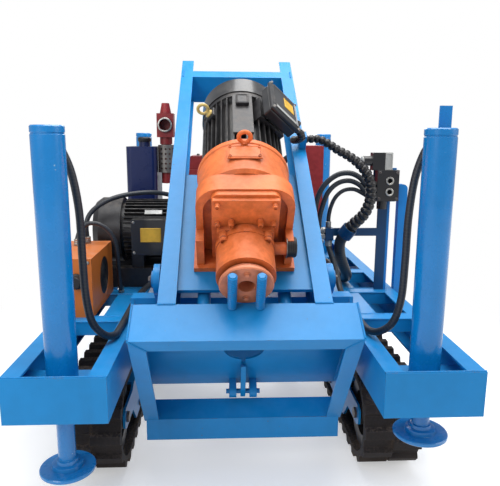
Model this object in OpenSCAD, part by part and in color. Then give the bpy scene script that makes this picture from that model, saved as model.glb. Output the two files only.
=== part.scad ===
// Small crawler drilling rig: a welded channel platform on two rubber tracks,
// a tilting mast with a geared rotary head, four hydraulic jacks and a power pack.
// Millimetres. X to the machine's right, Y to its rear, Z up, origin on the floor
// under the middle of the machine.

/* [Overall] */
// How far the control box and the outer valve post stand out past the outer beams
side_reach = 43; // [20:1:60]

/* [Platform] */
// Half of the platform's length
frame_half_len = 1205; // [1195:5:1260]
// Outer face of the outer beams, from the middle
frame_outer_x = 797; // [790:1:810]
// Inner face of the inner beams, from the middle
frame_inner_x = 455; // [450:1:465]
// Height of the channel beams
beam_h = 160; // [140:5:180]
// Flange width of the channel beams
beam_flange = 63; // [50:1:70]
// Wall of the channel beams
beam_wall = 8; // [6:1:10]
// Height of the platform's top face above the floor
deck_z = 580; // [570:5:600]
// Thickness of the plates that close the beam ends
end_plate = 8; // [6:1:12]

/* [Tracks] */
// Middle of each track, from the middle of the machine
track_x = 590; // [585:1:595]
// Width of a track
track_w = 230; // [200:5:232]
// Height of a track with its lugs
track_h = 390; // [370:5:400]
// Distance of the end wheels' axles from the platform's ends
wheel_inset = 460; // [445:5:505]
// Thickness of the rubber band
band_t = 22; // [16:1:26]
// Height of the outer lugs
lug_h = 20; // [12:1:26]
// Distance from lug to lug along the band
lug_pitch = 92; // [80:2:120]
// Height of the inner guide horns
horn_h = 30; // [20:1:34]
// Radius of the bottom rollers
roller_r = 52; // [40:1:54]
// Radius of the carrier roller
carrier_r = 30; // [24:1:32]

/* [Jacks] */
// Distance of the jacks from the middle of the machine, across
jack_x = 637; // [620:1:650]
// Distance of the jacks from the platform's ends
jack_inset = 140; // [120:1:145]
// Outer radius of a jack tube
jack_r = 54; // [48:1:60]
// Wall of a jack tube
jack_wall = 9; // [6:1:12]
// Height of the jack tubes' tops
jack_top_z = 1375; // [1300:5:1450]
// Radius of a jack rod
jack_rod_r = 31; // [25:1:34]
// Height of a pad's underside when its jack is drawn in
pad_z = 280; // [260:5:290]
// How far the front left jack stands out
jack_drop = 110; // [60:5:150]
// Radius of a jack pad
pad_r = 97; // [85:1:105]

/* [Mast] */
// Distance of the mast's pivot ahead of the middle
pivot_y = 805; // [795:1:815]
// Height of the mast's pivot
pivot_z = 800; // [790:1:815]
// Rise of the mast as it is parked
mast_angle = 35; // [35:1:36]
// Radius of the pivot pins
pivot_r = 25; // [20:1:30]
// Outer half width of the mast's rails
mast_half_w = 312.5; // [305:0.5:313]
// Height of the rail channels
rail_h = 160; // [150:1:165]
// Flange width of the rail channels
rail_flange = 65; // [50:1:70]
// Wall of the rail channels
rail_wall = 8; // [6:1:9]
// Face of the rails above the pivot
rail_face = 86; // [80:1:90]
// Top end of the rails beyond the pivot
rail_top = 1587; // [1500:1:1650]
// Front of the crossbar near the rails' top
crossbar_s = 1403; // [1380:1:1420]

/* [Foot frame] */
// Half width of the foot frame
foot_half_w = 400; // [380:1:405]
// Height of the foot frame
foot_h = 566; // [540:1:580]
// Front face of the foot frame, before the pivot
foot_front = 343; // [335:1:350]
// Depth of the foot frame along the mast
foot_depth = 155; // [140:1:156]
// Width of its front flanges
foot_flange = 58; // [45:1:65]
// Wall of the foot frame
foot_wall = 8; // [6:1:10]
// Radius of the keyhole in the back wall
keyhole_r = 80; // [60:1:90]
// Width of the slot under the keyhole
slot_w = 16; // [10:1:24]
// Height of the guide pegs above the top plate
peg_h = 174; // [140:1:190]
// Radius of a guide peg
peg_r = 14; // [10:1:16]
// Half of the distance between the guide pegs
peg_x = 49; // [44:1:60]

/* [Rotary head] */
// Top face of the carriage plate above the pivot
plate_v = 62; // [58:1:66]
// Thickness of the carriage plate
plate_t = 16; // [12:1:20]
// Lower end of the carriage plate
plate_s0 = -105; // [-110:1:-95]
// Upper end of the carriage plate
plate_s1 = 566; // [560:1:580]
// Height of the spindle's axis above the pivot
spindle_v = 172; // [170:1:176]
// Height of the motor's axis above the pivot
motor_v = 245; // [243:1:250]
// Radius of the bell housing
bell_r = 178; // [170:1:180]
// Upper end of the bell housing
bell_s1 = 327; // [320:1:335]
// Radius of the head motor over its fins
head_motor_r = 166; // [155:1:168]
// Upper end of the head motor
head_motor_s1 = 820; // [800:1:840]
// Radius of the bore that takes the drill rod
rod_bore_r = 30; // [25:1:34]
// Radius of the feed rods
feed_rod_r = 14; // [10:1:16]
// Radius of the feed cylinders
feed_barrel_r = 25; // [22:1:28]
// Distance of the feed cylinders from the middle
feed_x = 152; // [145:1:165]

/* [Tilt cylinder] */
// Distance of the base pin ahead of the middle
tilt_base_y = 110; // [105:1:115]
// Height of the base pin
tilt_base_z = 545; // [540:1:550]
// Place of the rod's eye along the mast, from the pivot
tilt_eye_s = 250; // [245:1:260]
// Depth of the rod's eye under the pivot line
tilt_eye_v = 110; // [105:1:115]
// Outer radius of the tilt cylinder
tilt_barrel_r = 45; // [38:1:48]
// Radius of the tilt cylinder's rod
tilt_rod_r = 22; // [16:1:26]

/* [Power pack] */
// Radius of the pump motor
pump_motor_r = 170; // [160:1:172]
// Height of the pump motor's axis
pump_motor_z = 860; // [855:1:870]
// Place of the pump motor's axis behind the middle
pump_motor_y = 30; // [25:1:40]

/* [Hidden] */
$fn = 48;

blue = [0.11, 0.46, 0.77];
orange = [0.92, 0.47, 0.24];
black = [0.11, 0.11, 0.12];
steel = [0.6, 0.6, 0.62];
red = [0.6, 0.1, 0.12];
navy = [0.06, 0.14, 0.4];
rubber = [0.17, 0.15, 0.15];

// Running clearance between a shaft and its bore
fit = 0.05;
// Gap between curved faces that only rest against each other
seat = 0.3;

beam_z0 = deck_z - beam_h;
half_w = frame_outer_x + side_reach;
jack_y = frame_half_len - jack_inset;
wheel_y = frame_half_len - wheel_inset;
track_r = track_h / 2;
band_r = track_r - lug_h;
band_in_r = band_r - band_t;

// Moves what is drawn for the right side to the side that is asked for
module on_side(side) {
    mirror([side < 0 ? 1 : 0, 0, 0]) children();
}
// Extrudes an outline in Y and Z along X, centred on X = 0
module along_x(w) {
    rotate([90, 0, 90]) linear_extrude(w, center = true) children();
}
// Extrudes an outline in X and Z along Y, from y0 to y1
module along_y(y0, y1) {
    translate([0, y1, 0]) rotate([90, 0, 0]) linear_extrude(y1 - y0) children();
}
// A cylinder along X from x0 to x1
module rod_x(r, x0, x1) {
    translate([x0, 0, 0]) rotate([0, 90, 0]) cylinder(r = r, h = x1 - x0);
}
// A cylinder along Y from y0 to y1
module rod_y(r, y0, y1) {
    translate([0, y1, 0]) rotate([90, 0, 0]) cylinder(r = r, h = y1 - y0);
}
// Turns a profile of radius and place into a body of revolution along X
module turned_x() {
    rotate([0, 90, 0]) rotate_extrude() children();
}
// Turns a profile of radius and place into a body of revolution along Y
module turned_y() {
    rotate([-90, 0, 0]) rotate_extrude() children();
}
// Channel outline: web on the left, flanges to the right
module channel(h, f, t) {
    difference() {
        square([f, h]);
        translate([t, t]) square([f, h - 2 * t]);
    }
}
// Rectangle with round corners, its lower left corner at the origin
module round_rect(w, h, r) {
    translate([r, 0]) square([w - 2 * r, h]);
    translate([0, r]) square([w, h - 2 * r]);
    for (x = [r, w - r], y = [r, h - r]) translate([x, y]) circle(r);
}
// Puts what is drawn in mast axes into place: y along the mast, z off its face
module in_mast() {
    translate([0, -pivot_y, pivot_z]) rotate([mast_angle, 0, 0]) children();
}

// Smooth path through hand-set points, then a round tube along it
function curve_at(p, i, t) =
    let (a = p[max(i - 1, 0)], b = p[i], c = p[i + 1], d = p[min(i + 2, len(p) - 1)])
    0.5 * (2 * b + (c - a) * t + (2 * a - 5 * b + 4 * c - d) * t * t
        + (3 * b - a - 3 * c + d) * t * t * t);
function smooth(p, n) = [
    for (i = [0:len(p) - 2]) for (k = [0:n - 1]) curve_at(p, i, k / n),
    p[len(p) - 1]
];
function unit(v) = v / norm(v);
function across(n, t) = unit(n - (n * t) * t);
function tangent(p, i) = unit(p[min(i + 1, len(p) - 1)] - p[max(i - 1, 0)]);
function headings(points, p) = [
    for (i = [0:len(p) - 1])
    i == 0 ? unit(points[1] - points[0]) :
    i == len(p) - 1 ? unit(points[len(points) - 1] - points[len(points) - 2]) : tangent(p, i)
];
function ring_axes(t) = [
    for (i = 0, n = across([0.3, 0.2, 0.93], t[0]); i < len(t);
        n = across(n, t[min(i + 1, len(t) - 1)]), i = i + 1) n
];
module hose(points, r, r_end = 0, steps = 3, sides = 10) {
    p = smooth(points, steps);
    heads = headings(points, p);
    axes = ring_axes(heads);
    count = len(p);
    grow = r_end > 0 ? r_end - r : 0;
    rings = [
        for (i = [0:count - 1])
        let (n = axes[i], b = cross(heads[i], n), q = r + grow * i / (count - 1))
        for (k = [0:sides - 1]) p[i] + q * (cos(360 * k / sides) * n + sin(360 * k / sides) * b)
    ];
    walls = [
        for (i = [0:count - 2]) for (k = [0:sides - 1])
        let (a = i * sides + k, b = i * sides + (k + 1) % sides)
        each [[a, a + sides, b], [b, a + sides, b + sides]]
    ];
    ends = [[for (k = [0:sides - 1]) k], [for (k = [sides - 1:-1:0]) (count - 1) * sides + k]];
    polyhedron(rings, concat(walls, ends));
}

// Tracks and running gear

// Place along the band at distance s: y, z and the turn of the outward side
function band_place(s, r) =
    let (half = 2 * wheel_y, arc = PI * r)
    s < half ? [s - wheel_y, track_r - r, 180] :
    s < half + arc ? let (a = (s - half) / r * 180 / PI)
        [wheel_y + r * sin(a), track_r - r * cos(a), 180 + a] :
    s < 2 * half + arc ? [wheel_y - (s - half - arc), track_r + r, 0] :
    let (a = (s - 2 * half - arc) / r * 180 / PI)
        [-wheel_y - r * sin(a), track_r + r * cos(a), a];
band_len = 4 * wheel_y + 2 * PI * band_r;
lug_count = round(band_len / lug_pitch);
// Lug outline: base width, tip width
lug_base = 52;
lug_tip = 34;
horn_base = 44;
horn_tip = 24;
horn_w = 36;
sink = 3;
module stadium(r) {
    translate([0, track_r]) square([2 * wheel_y, 2 * r], center = true);
    for (y = [-wheel_y, wheel_y]) translate([y, track_r]) circle(r, $fn = 72);
}
module band_row(phase) {
    difference() {
        stadium(band_r);
        stadium(band_in_r);
    }
    for (i = [0:lug_count - 1])
        let (p = band_place((i + phase) * band_len / lug_count, band_r))
        translate([p[0], p[1]]) rotate(p[2])
        polygon([[-lug_base / 2, -sink], [-lug_tip / 2, lug_h], [lug_tip / 2, lug_h], [lug_base / 2, -sink]]);
}
module horn_row() {
    in_len = 4 * wheel_y + 2 * PI * band_in_r;
    for (i = [0:lug_count - 1])
        let (p = band_place((i + 0.25) * in_len / lug_count, band_in_r))
        translate([p[0], p[1]]) rotate(p[2])
        polygon([[-horn_base / 2, sink], [-horn_tip / 2, -horn_h], [horn_tip / 2, -horn_h], [horn_base / 2, sink]]);
}
module track(side) {
    color(rubber) on_side(side) translate([track_x, 0, 0]) {
        translate([-track_w / 4, 0, 0]) along_x(track_w / 2) band_row(0);
        translate([track_w / 4, 0, 0]) along_x(track_w / 2) band_row(0.5);
        along_x(horn_w) horn_row();
    }
}

// Side plates of a track frame, inside the loop
frame_plate_x = 103;
frame_plate_t = 10;
// Where the plate's deep middle ends, from the middle
arm = wheel_y - 145;
axle_r = 22;
roller_axle_r = 16;
roller_z = track_h - 2 * band_in_r - 2 * lug_h - 2 * band_t + lug_h + band_t + seat + roller_r;
roller_step = (wheel_y - 325) / 2;
roller_places = [for (i = [-2:2]) i * roller_step];
carrier_z = track_h - lug_h - band_t - seat - carrier_r;
module frame_plate() {
    e = wheel_y + 45;
    foot = arm - 80;
    top = arm - 40;
    difference() {
        polygon([[-e, 165], [-e + 30, 150], [-arm, 150], [-foot, 66], [foot, 66], [arm, 150],
            [e - 30, 150], [e, 165], [e, 225], [e - 30, 240], [arm, 240], [top, 262],
            [-top, 262], [-arm, 240], [-e + 30, 240], [-e, 225]]);
        for (y = [-wheel_y, wheel_y]) translate([y, track_r]) circle(axle_r + seat);
        for (y = roller_places) translate([y, roller_z]) circle(roller_axle_r + seat);
        for (i = [-1.5:1:1.5]) translate([i * roller_step, 190]) circle(34);
    }
}
module track_frame(side) {
    color(blue) on_side(side) translate([track_x, 0, 0]) {
        for (x = [-frame_plate_x, frame_plate_x])
            translate([x, 0, 0]) along_x(frame_plate_t) frame_plate();
        translate([0, 0, 256]) cube([2 * frame_plate_x, 2 * (arm - 40), 12], center = true);
        for (x = [-74, 74]) translate([x, 0, 0]) along_x(10) difference() {
            translate([-30, 256]) square([60, carrier_z - 256 + 18]);
            translate([0, carrier_z]) circle(12 + seat);
        }
    }
}
module front_idlers() {
    r = band_in_r - seat;
    g = band_in_r - horn_h - 5;
    color(steel) for (side = [-1, 1]) on_side(side)
        translate([track_x, -wheel_y, track_r]) turned_x()
        polygon([[0, -118], [axle_r, -118], [axle_r, -92], [48, -92], [48, -30], [g - 25, -22],
            [g - 25, -85], [r, -85], [r, -24], [g, -24], [g, 24], [r, 24], [r, 85], [g - 25, 85],
            [g - 25, 22], [48, 30], [48, 92], [axle_r, 92], [axle_r, 118], [0, 118]]);
}
tooth_count = 11;
module sprocket_outline() {
    tip = band_in_r - seat;
    circle(tip - 26);
    for (i = [0:tooth_count - 1]) rotate(i * 360 / tooth_count + 8)
        polygon([[-24, tip - 40], [-11, tip - 2], [11, tip - 2], [24, tip - 40]]);
}
module drive_sprockets() {
    color(steel) for (side = [-1, 1]) on_side(side)
        translate([track_x, wheel_y, track_r]) {
            for (x = [-37, 37]) translate([x, 0, 0]) along_x(22) sprocket_outline();
            turned_x() polygon([[0, -118], [axle_r, -118], [axle_r, -92], [78, -92], [86, -84],
                [86, 40], [60, 60], [60, 92], [axle_r, 92], [axle_r, 118], [0, 118]]);
        }
}
module roller(r, axle, half, groove, end) {
    turned_x() polygon([[0, -end], [axle, -end], [axle, -half - 4], [r - 12, -half - 4], [r, -half],
        [r, -24], [groove, -24], [groove, 24], [r, 24], [r, half], [r - 12, half + 4],
        [axle, half + 4], [axle, end], [0, end]]);
}
module track_rollers() {
    color(steel) for (side = [-1, 1]) on_side(side) translate([track_x, 0, 0]) {
        for (y = roller_places) translate([0, y, roller_z]) roller(roller_r, roller_axle_r, 76, 18, 116);
        for (a = [0, 180]) translate([0, 0, carrier_z]) rotate([0, 0, a]) turned_x()
            polygon([[0, 24], [carrier_r, 24], [carrier_r, 60], [carrier_r - 8, 64], [12, 64], [12, 84], [0, 84]]);
    }
}

// Chassis: beams between the track frames, with posts under the platform
beam_places = [-230, 430];
chassis_z0 = 200;
chassis_z1 = 320;
module chassis_beams() {
    reach = track_x - frame_plate_x - frame_plate_t / 2;
    post_x1 = track_x - track_w / 2 - 1;
    color(blue) for (y = beam_places) {
        translate([-reach, y - 50, chassis_z0]) cube([2 * reach, 100, chassis_z1 - chassis_z0]);
        for (side = [-1, 1]) on_side(side) {
            translate([post_x1 - 64, y - 50, chassis_z1]) cube([64, 100, beam_z0 - chassis_z1]);
        }
    }
    color(blue) for (side = [-1, 1]) on_side(side)
        translate([260, beam_places[0] + 50, 230]) cube([80, beam_places[1] - beam_places[0] - 100, 60]);
}

// Platform: one welded frame of channels on each side
bar_y = jack_y - 445;
cross_bars = [ // place along Y, width, height
    [-bar_y, 70, 60], [-207, 80, 60], [207, 80, 60], [bar_y, 70, 60]];
seat_plates = [0, 80]; // heights of the jack's seat plates above the beam's foot
module side_frame(side) {
    inner = frame_inner_x;
    width = frame_outer_x - frame_inner_x;
    run = frame_half_len - end_plate;
    color(blue) on_side(side) difference() {
        union() {
            translate([frame_outer_x, 0, beam_z0]) mirror([1, 0, 0])
                along_y(-run, run) channel(beam_h, beam_flange, beam_wall);
            translate([inner, 0, beam_z0]) along_y(-run, run) channel(beam_h, beam_flange, beam_wall);
            for (y = [-frame_half_len, run])
                translate([inner, y, beam_z0]) cube([width, end_plate, beam_h]);
            for (b = cross_bars)
                translate([inner + 4, b[0] - b[1] / 2, deck_z - b[2]]) cube([width - 8, b[1], b[2]]);
            translate([inner + beam_flange, 35 - bar_y, deck_z - 40]) cube([80, 2 * bar_y - 70, 40]);
            for (y = [-1, 1], z = seat_plates)
                translate([inner + 4, y > 0 ? jack_y - 80 : -run, beam_z0 + z])
                cube([width - 8, run - jack_y + 80, 10]);
            for (y = [-1, 1])
                translate([inner + 4, y * (jack_y - 80) - 4, beam_z0]) cube([width - 8, 8, 90]);
        }
        for (y = [-jack_y, jack_y])
            translate([jack_x, y, beam_z0 - 1]) cylinder(r = jack_r + seat, h = beam_h + 2);
    }
}
tilt_beam_y = -tilt_base_y;
rear_beams = [320, 720, frame_half_len - 55];
module platform_beams() {
    reach = frame_inner_x;
    color(blue) {
        translate([-reach, tilt_beam_y - 40, beam_z0]) cube([2 * reach, 80, 80]);
        for (x = [-33, 33]) translate([x, 0, 0]) along_x(18) difference() {
            union() {
                translate([tilt_beam_y, tilt_base_z]) circle(38);
                translate([tilt_beam_y - 38, beam_z0 + 70]) square([76, tilt_base_z - beam_z0 - 70]);
            }
            translate([tilt_beam_y, tilt_base_z]) circle(tilt_pin_r + fit);
        }
        for (y = rear_beams) translate([-reach, y - 35, beam_z0 + 60]) cube([2 * reach, 70, 100]);
        for (x = [-260, 190]) translate([x, rear_beams[0] - 35, deck_z])
            cube([70, rear_beams[2] - rear_beams[0] + 70, 60]);
    }
}

// Stand that carries the mast's pivot pins
ear_x = mast_half_w + 7.5;
ear_t = 25;
ear_r = 60;
tube_y = -720;
tube_z = 620;
tube_w = 80;
module ear_outline() {
    difference() {
        union() {
            translate([-pivot_y, pivot_z]) circle(ear_r);
            polygon([[-pivot_y - ear_r * 0.97, pivot_z - 15], [tube_y, tube_z], [tube_y + tube_w, tube_z],
                [tube_y + tube_w, tube_z + tube_w], [-pivot_y + ear_r * 0.8, pivot_z + 36]]);
        }
        translate([-pivot_y, pivot_z]) circle(pivot_r + fit);
    }
}
module mast_stand() {
    plate_x = frame_inner_x - 16;
    color(blue) {
        translate([-plate_x, tube_y, tube_z]) cube([2 * plate_x, tube_w, tube_w]);
        for (side = [-1, 1]) on_side(side) {
            translate([ear_x + ear_t / 2, 0, 0]) along_x(ear_t) ear_outline();
            translate([plate_x + 8, 0, 0]) along_x(16)
                polygon([[tube_y - 40, beam_z0 + 20], [tube_y + tube_w + 60, beam_z0 + 20],
                    [tube_y + tube_w, tube_z + tube_w], [tube_y, tube_z + tube_w]]);
        }
    }
}

// Jacks
jack_z0 = beam_z0 + 2;
jack_bore_r = jack_r - jack_wall;
module jack_tube(sx, sy, bracket = false) {
    color(blue) translate([sx * jack_x, sy * jack_y, 0]) {
        rotate_extrude() polygon([[jack_rod_r + fit, jack_z0], [jack_r, jack_z0], [jack_r, jack_top_z - 30],
            [jack_r - 2, jack_top_z - 28], [jack_r - 2, jack_top_z - 24], [jack_r, jack_top_z - 22],
            [jack_r, jack_top_z - 4], [jack_r - 4, jack_top_z], [0, jack_top_z], [0, jack_top_z - 12],
            [jack_bore_r, jack_top_z - 12], [jack_bore_r, jack_z0 + 48], [jack_rod_r + fit, jack_z0 + 48]]);
        for (z = [jack_z0 + 188, jack_top_z - 60]) translate([0, 0, z])
            rotate([sy < 0 ? -90 : 90, 0, 0]) translate([0, 0, jack_r - 3]) cylinder(r = 13, h = 19);
        if (bracket) translate([12, jack_r - 4, jack_top_z - 240]) cube([42, 8, 315]);
    }
}
leg_len = 1060;
module jack_leg(sx, sy, drop) {
    z = pad_z - drop;
    color(blue) translate([sx * jack_x, sy * jack_y, z])
        rotate_extrude() polygon([[0, 0], [pad_r - 3, 0], [pad_r, 3], [pad_r, 12], [pad_r - 3, 15],
            [jack_rod_r + 24, 15], [jack_rod_r + 22, 30], [jack_rod_r + 8, 32], [jack_rod_r + 6, 44],
            [jack_rod_r, 46], [jack_rod_r, leg_len - 40], [jack_bore_r - 0.5, leg_len - 40],
            [jack_bore_r - 0.5, leg_len], [0, leg_len]]);
}

// Mast, in its own axes
// Saddle on the right rail that carries the head's conduit
clip_s = 755;
clip_v = 127;
foot_back = foot_depth - foot_front;
module mast_rails() {
    color(blue) in_mast() {
        for (side = [-1, 1]) on_side(side) {
            translate([mast_half_w, 0, rail_face - rail_h]) mirror([1, 0, 0])
                along_y(foot_back, rail_top) channel(rail_h, rail_flange, rail_wall);
            rod_x(46, mast_half_w - 1, ear_x - 3);
            rod_x(pivot_r, mast_half_w - 1, ear_x + ear_t + 12);
            rod_x(pivot_r + 9, ear_x + ear_t + 2, ear_x + ear_t + 10);
        }
        translate([-mast_half_w + rail_wall / 2, crossbar_s, rail_face - rail_h]) {
            cube([2 * mast_half_w - rail_wall, rail_wall, rail_h]);
            for (z = [0, rail_h - rail_wall])
                translate([0, 0, z]) cube([2 * mast_half_w - rail_wall, rail_flange, rail_wall]);
        }
        tie_v = rail_face - rail_h;
        difference() {
            translate([280, clip_s - 22, rail_face - 1]) cube([mast_half_w - 280, 44, 70]);
            translate([0, clip_s, clip_v]) rod_x(19, 279, mast_half_w + 1);
        }
        translate([-mast_half_w, tilt_eye_s + 75, tie_v - 60]) cube([2 * mast_half_w, 60, 60]);
        for (x = [-33, 33]) translate([x, 0, 0]) along_x(14) difference() {
            union() {
                translate([tilt_eye_s, -tilt_eye_v]) circle(32);
                translate([tilt_eye_s, -tilt_eye_v - 24]) square([95, 60]);
            }
            translate([tilt_eye_s, -tilt_eye_v]) circle(tilt_pin_r + fit);
        }
        for (x = [-42, 42]) translate([x, tilt_eye_s, -tilt_eye_v]) rod_x(24, -4, 4);
    }
}
foot_top = rail_face;
foot_bottom = foot_top - foot_h;
shelf_depth = 90;
wall_bottom = foot_bottom + 33;
keyhole_v = foot_top - 270;
module foot_front_outline() {
    difference() {
        translate([-foot_half_w, foot_bottom]) square([2 * foot_half_w, foot_h]);
        translate([-foot_half_w + foot_flange, foot_bottom - 1])
            square([2 * (foot_half_w - foot_flange), foot_h - foot_flange + 1]);
    }
}
module foot_frame() {
    y0 = -foot_front;
    color(blue) in_mast() difference() {
        union() {
            along_y(y0, y0 + foot_wall) foot_front_outline();
            translate([-foot_half_w, y0, foot_top - foot_wall])
                cube([2 * foot_half_w, foot_depth, foot_wall]);
            for (x = [-foot_half_w, foot_half_w - foot_wall])
                translate([x, y0, foot_bottom]) cube([foot_wall, foot_depth, foot_h]);
            translate([-foot_half_w, y0, foot_bottom])
                cube([2 * foot_half_w, shelf_depth, foot_wall]);
            along_y(foot_back - foot_wall, foot_back) difference() {
                translate([-foot_half_w, wall_bottom])
                    square([2 * foot_half_w, foot_top - wall_bottom]);
                translate([0, keyhole_v]) circle(keyhole_r);
                translate([-slot_w / 2, keyhole_v - keyhole_r - 26]) square([slot_w, 60]);
            }
            translate([0, -foot_front + 4, foot_bottom + 4]) rotate([-mast_angle, 0, 0])
                translate([-foot_half_w + 8, -6, -88]) cube([2 * foot_half_w - 16, 8, 90]);
        }
        for (x = [-foot_half_w - 1, foot_half_w - foot_wall - 1], v = [-60, -330])
            translate([x, foot_back - 40, v]) rod_x(9, 0, foot_wall + 2);
    }
}
rib_pitch = 12;
module guide_pegs() {
    color(blue) in_mast() for (x = [-peg_x, peg_x])
        translate([x, foot_back - peg_r - 2, foot_top]) {
            cylinder(r = peg_r - 1.5, h = peg_h);
            for (z = [6:rib_pitch:peg_h - 6]) translate([0, 0, z]) cylinder(r = peg_r, h = 5);
        }
}
module foot_lever() {
    base = foot_back - foot_wall;
    color(blue) in_mast() {
        for (x = [-42, 42]) translate([x, 0, 0]) along_x(30) difference() {
            union() {
                translate([base - 45, foot_bottom + 46]) circle(26);
                translate([base - 45, foot_bottom + 20]) square([45, 52]);
            }
            translate([base - 45, foot_bottom + 46]) circle(10);
        }
        along_x(20) polygon([[base - 62, foot_bottom + 30], [base - 30, foot_bottom + 24],
            [base - 30, foot_bottom + 70], [base - 8, foot_bottom + 190], [base - 22, foot_bottom + 196],
            [base - 58, foot_bottom + 80]]);
        translate([0, base - 45, foot_bottom + 46]) rod_x(10 - fit, -70, 70);
    }
}
module feed_cylinders() {
    color(blue) in_mast() for (x = [-feed_x, feed_x]) translate([x, 0, 0]) difference() {
        union() {
            rod_y(feed_barrel_r, -160, 440);
            rod_y(feed_barrel_r + 4, 415, 440);
            translate([-20, foot_back, -24]) cube([40, 40, 48]);
        }
        rod_y(feed_rod_r + fit, -140, 441);
    }
}

// Carriage with the rotary head, in mast axes
shoe_places = [-60, 420];
plate_half = mast_half_w - rail_wall - 6;
module carriage_plate() {
    top = rail_face - rail_wall - seat;
    bottom = rail_face - rail_h + rail_wall + seat;
    edge = mast_half_w - rail_wall - seat;
    color(blue) in_mast() {
        translate([-plate_half, plate_s0, plate_v - plate_t])
            cube([2 * plate_half, plate_s1 - plate_s0, plate_t]);
        for (side = [-1, 1], s = shoe_places) on_side(side)
            translate([edge - 42, s, bottom]) cube([42, 100, top - bottom]);
    }
}
eye_s = 500;
module feed_rods() {
    color(steel) in_mast() for (x = [-feed_x, feed_x]) translate([x, 0, 0]) {
        rod_y(feed_rod_r, -130, eye_s + 2);
        translate([-20, eye_s, -20]) cube([40, 40, plate_v - plate_t + 20]);
    }
}
module housing_outline(inset) {
    w = 2 * (bell_r - inset);
    translate([-w / 2, plate_v]) round_rect(w, 343 - inset, 90 - inset / 2);
    translate([-w / 2, plate_v]) square([w, 120]);
}
module gear_housing() {
    color(orange) in_mast() {
        along_y(60, 140) difference() {
            housing_outline(0);
            translate([0, -1]) housing_outline(26);
        }
        along_y(84, 140) housing_outline(20);
        along_y(39, 90) translate([-122, plate_v + 6]) round_rect(244, 330, 30);
        along_y(22, 40) translate([-119, 263]) round_rect(238, 123, 8);
        along_y(0, 40) translate([-103, plate_v + 8]) round_rect(206, 195, 20);
        translate([0, 0, spindle_v]) difference() {
            union() {
                rod_y(106, -142, 20);
                rod_y(109, -20, 10);
            }
            rod_y(46 + fit, -143, -60);
        }
        for (side = [-1, 1]) on_side(side) {
            translate([100, -16, plate_v]) cube([90, 336, 20]);
            translate([150, 0, plate_v]) cube([bell_r - 150, 140, 150]);
        }
        translate([0, 0, spindle_v]) rod_x(24, 100, 152);
        for (x = [-78, 78]) translate([x, 0, 248]) rod_y(16, -24, 1);
        for (x = [-100, 100], v = [282, 368]) translate([x, 0, v]) rod_y(9, 12, 23);
        for (x = [-52, 52]) translate([x, 0, 292]) rod_y(11, 2, 23);
    }
    color(black) in_mast() translate([0, 6, spindle_v]) rod_x(34, 151, 184);
}
module ring_eye(r, t) {
    rotate([90, 0, 0]) rotate_extrude() translate([r, 0]) circle(t, $fn = 24);
}
module bell_housing() {
    color(orange) in_mast() translate([0, 0, motor_v]) {
        turned_y() polygon([[0, 140 + seat], [bell_r - 12, 140 + seat], [bell_r, 152], [bell_r, bell_s1 - 26],
            [bell_r + 4, bell_s1 - 22], [bell_r + 4, bell_s1 - 2], [bell_r + 2, bell_s1], [0, bell_s1]]);
        translate([0, bell_s1 - 30, bell_r + 6]) {
            rod_y(1, 0, 1);
            translate([0, 0, -10]) cylinder(r = 13, h = 16);
            translate([0, 0, 26]) ring_eye(22, 8);
        }
        translate([-45, 210, bell_r - 8]) cube([90, 62, 12]);
    }
}
head_fins = 40;
module finned_outline(core, tip, count, fin_t) {
    circle(core);
    for (i = [0:count - 1]) rotate((i + 0.5) * 360 / count)
        translate([core - 4, -fin_t / 2]) square([tip - core + 4, fin_t]);
}
fan_s = head_motor_s1 - 130;
cover_r = head_motor_r + 5;
box_s0 = 470;
box_r = head_motor_r + 6;
module head_motor() {
    color(black) in_mast() translate([0, 0, motor_v]) {
        turned_y() polygon([[0, bell_s1], [head_motor_r + 4, bell_s1], [head_motor_r + 4, bell_s1 + 16],
            [140, bell_s1 + 36], [140, fan_s - 40], [head_motor_r - 8, fan_s - 28], [cover_r - 4 - seat, fan_s - 26],
            [cover_r - 4 - seat, fan_s + 12], [0, fan_s + 12]]);
        along_y(bell_s1 + 10, fan_s - 18) finned_outline(138, head_motor_r, head_fins, 5);
        translate([-40, bell_s1 + 60, 100]) cube([80, fan_s - bell_s1 - 90, head_motor_r - 96]);
        rotate([0, 45, 0]) translate([-70, box_s0 + 30, 100]) cube([140, 140, box_r - 100]);
    }
}
module head_fan_cover() {
    r = cover_r;
    color(black) in_mast() translate([0, 0, motor_v]) difference() {
        turned_y() polygon([[r - 4, fan_s], [r, fan_s], [r, head_motor_s1 - 30], [r - 22, head_motor_s1],
            [0, head_motor_s1], [0, head_motor_s1 - 4], [r - 24, head_motor_s1 - 4], [r - 4, head_motor_s1 - 31]]);
        for (a = [0:30:330], q = [46, 70, 94, 118]) rotate([0, a, 0])
            translate([q, head_motor_s1 - 10, 0]) rotate([-90, 0, 0]) cylinder(r = 7, h = 20);
    }
}
module head_terminal_box() {
    color(black) in_mast() translate([0, 0, motor_v]) rotate([0, 45, 0]) {
        translate([-70, box_s0 + 30, box_r]) cube([140, 140, 14]);
        translate([0, 0, box_r + 12]) linear_extrude(56) translate([-100, box_s0]) round_rect(200, 200, 14);
        translate([0, 0, box_r + 66]) linear_extrude(24) translate([-106, box_s0 - 6]) round_rect(212, 212, 16);
        translate([0, box_s0 + 130, box_r + 38]) rod_x(20, 90, 126);
    }
}
module spindle_adapter() {
    color(orange) in_mast() translate([0, 0, spindle_v]) turned_y()
        polygon([[rod_bore_r, -180], [92, -180], [96, -176], [96, -166], [90, -164], [86, -162],
            [86, -150], [46, -148], [46, -61], [0, -61], [0, -120], [rod_bore_r, -120]]);
}

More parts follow.
